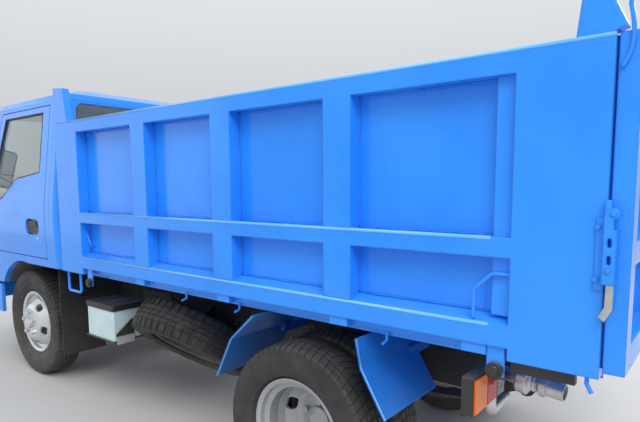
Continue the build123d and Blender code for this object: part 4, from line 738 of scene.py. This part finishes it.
# Mirror glass on the rear faces of the mirrors
mirror_glass = Heap()
mirror_glass.box((2.1488, 0.868, 1.375), (2.1502, 0.992, 1.645))
mirror_glass.mirror()
mirror_glass.piece("mirror_glass", "cab", "chrome", "rod_chrome")

# Bolts and rivets on the frame's outer faces, and bolts and pins of the gate's latches
OUTWARD = (0, 1, 0)
FRAME_BOLT_XS, FRAME_BOLT_ZS, FRAME_BOLT_Y = (-1.995, -1.925), (0.632, 0.664), 0.351
RIVETS, RIVET_FRONT, RIVET_PITCH, RIVET_ZS, RIVET_Y = 26, 2.1, 0.142, (0.545, 0.63), 0.3395
LATCH_BOLTS, LATCH_BOLT_Y = ((-2.216, 1.215), (-2.216, 1.08)), 0.8138
LATCH_PINS, LATCH_PIN_Y = ((-2.247, 1.107), (-2.253, 1.251)), 0.8315
bolts = Heap()
for bolt_z in FRAME_BOLT_ZS:
    for bolt_x in FRAME_BOLT_XS:
        bolts.prism((bolt_x, FRAME_BOLT_Y, bolt_z), OUTWARD, 0.011, 0.008, 6, 0.4)
for rivet in range(RIVETS):
    for rivet_z in RIVET_ZS:
        rivet_x = RIVET_FRONT - RIVET_PITCH * rivet
        bolts.prism((rivet_x, RIVET_Y, rivet_z), OUTWARD, 0.009, 0.005, 10, 0, 0.7)
bolts.mirror()
bolts.piece("frame_bolts", "chassis", "steel", "dark_steel")
latch_bolts = Heap()
for bolt_x, bolt_z in LATCH_BOLTS:
    latch_bolts.prism((bolt_x, LATCH_BOLT_Y, bolt_z), OUTWARD, 0.008, 0.006, 6, 0.2)
for pin_x, pin_z in LATCH_PINS:
    latch_bolts.prism((pin_x, LATCH_PIN_Y, pin_z), OUTWARD, 0.008, 0.004, 12)
latch_bolts.mirror()
latch_bolts.piece("latch_bolts", "bed", "blue", "blue_paint")

# Studio: pale floor, a sky that fades from the horizon up, soft lights
FLOOR_SIZE = 60
SKY_LOW, SKY_MIDDLE, SKY_HIGH = (1.15, 1.18, 1.22, 1), (1.55, 1.6, 1.66, 1), (2.3, 2.36, 2.44, 1)
SKY_MIDDLE_AT = 0.3
SKY_STRENGTH = 0.48
bpy.ops.mesh.primitive_plane_add(size=FLOOR_SIZE, location=(0, 0, 0))
floor = bpy.context.object
floor.name = "floor"
ground = Graph("studio floor")
patches = ground.ramp(ground.noise(0.8, 5), 0.3, 0.7)
tone = ground.mix(patches, rgb(0.58, 0.575, 0.565), rgb(0.555, 0.55, 0.54))
ground.bump(ground.noise(60, 4), 0.1, 0.002)
floor.data.materials.append(ground.done(tone, 0.8))

bpy.context.scene.view_settings.view_transform = "Standard"
world = bpy.data.worlds.new("studio")
bpy.context.scene.world = world
world.use_nodes = True
sky = world.node_tree
sky_light = sky.nodes["Background"]
sky_coords = sky.nodes.new("ShaderNodeTexCoord")
sky_split = sky.nodes.new("ShaderNodeSeparateXYZ")
sky_ramp = sky.nodes.new("ShaderNodeValToRGB")
sky.links.new(sky_coords.outputs["Generated"], sky_split.inputs[0])
sky.links.new(sky_split.outputs[2], sky_ramp.inputs[0])
sky.links.new(sky_ramp.outputs[0], sky_light.inputs[0])
sky_stops = sky_ramp.color_ramp.elements
sky_stops[0].color = SKY_LOW
sky_stops[1].color = SKY_HIGH
sky_stops.new(SKY_MIDDLE_AT).color = SKY_MIDDLE
sky_light.inputs[1].default_value = SKY_STRENGTH


def area_light(name, place, target, width, power, colour=(1, 1, 1)):
    """A square softbox at place that looks at target."""
    data = bpy.data.lights.new(name, "AREA")
    data.size = width
    data.energy = power
    data.color = colour
    lamp = bpy.data.objects.new(name, data)
    lamp.location = place
    lamp.rotation_euler = (Vector(target) - Vector(place)).to_track_quat("-Z", "Y").to_euler()
    bpy.context.collection.objects.link(lamp)


area_light("key", (-6, 5, 8), (0, 0, 0.8), 5, 560, (1, 0.99, 0.97))
area_light("fill", (12, 6, 2.5), (0.5, 0, 1), 9, 190, (0.94, 0.97, 1))
area_light("back", (-2, -7, 6), (-0.5, 0, 0.8), 4, 180)

# Camera at the photo's place, as fitted to the truck's straight edges
CAMERA_AT = (-2.49317, 2.29513, 1.32667)
CAMERA_AIM = (0.61823, -0.77857, -0.10779)
CAMERA_ROLL = -0.00477
camera_data = bpy.data.cameras.new("photo camera")
camera_data.sensor_width = 36
camera_data.lens = 29.437
camera_data.shift_x = -0.00368
camera_data.shift_y = 0.04728
camera_data.clip_start = 0.02
camera = bpy.data.objects.new("photo camera", camera_data)
camera.location = CAMERA_AT
aim = Vector(CAMERA_AIM).to_track_quat("-Z", "Y")
camera.rotation_euler = (aim.to_matrix() @ Matrix.Rotation(CAMERA_ROLL, 3, "Z")).to_euler()
bpy.context.collection.objects.link(camera)
bpy.context.scene.camera = camera
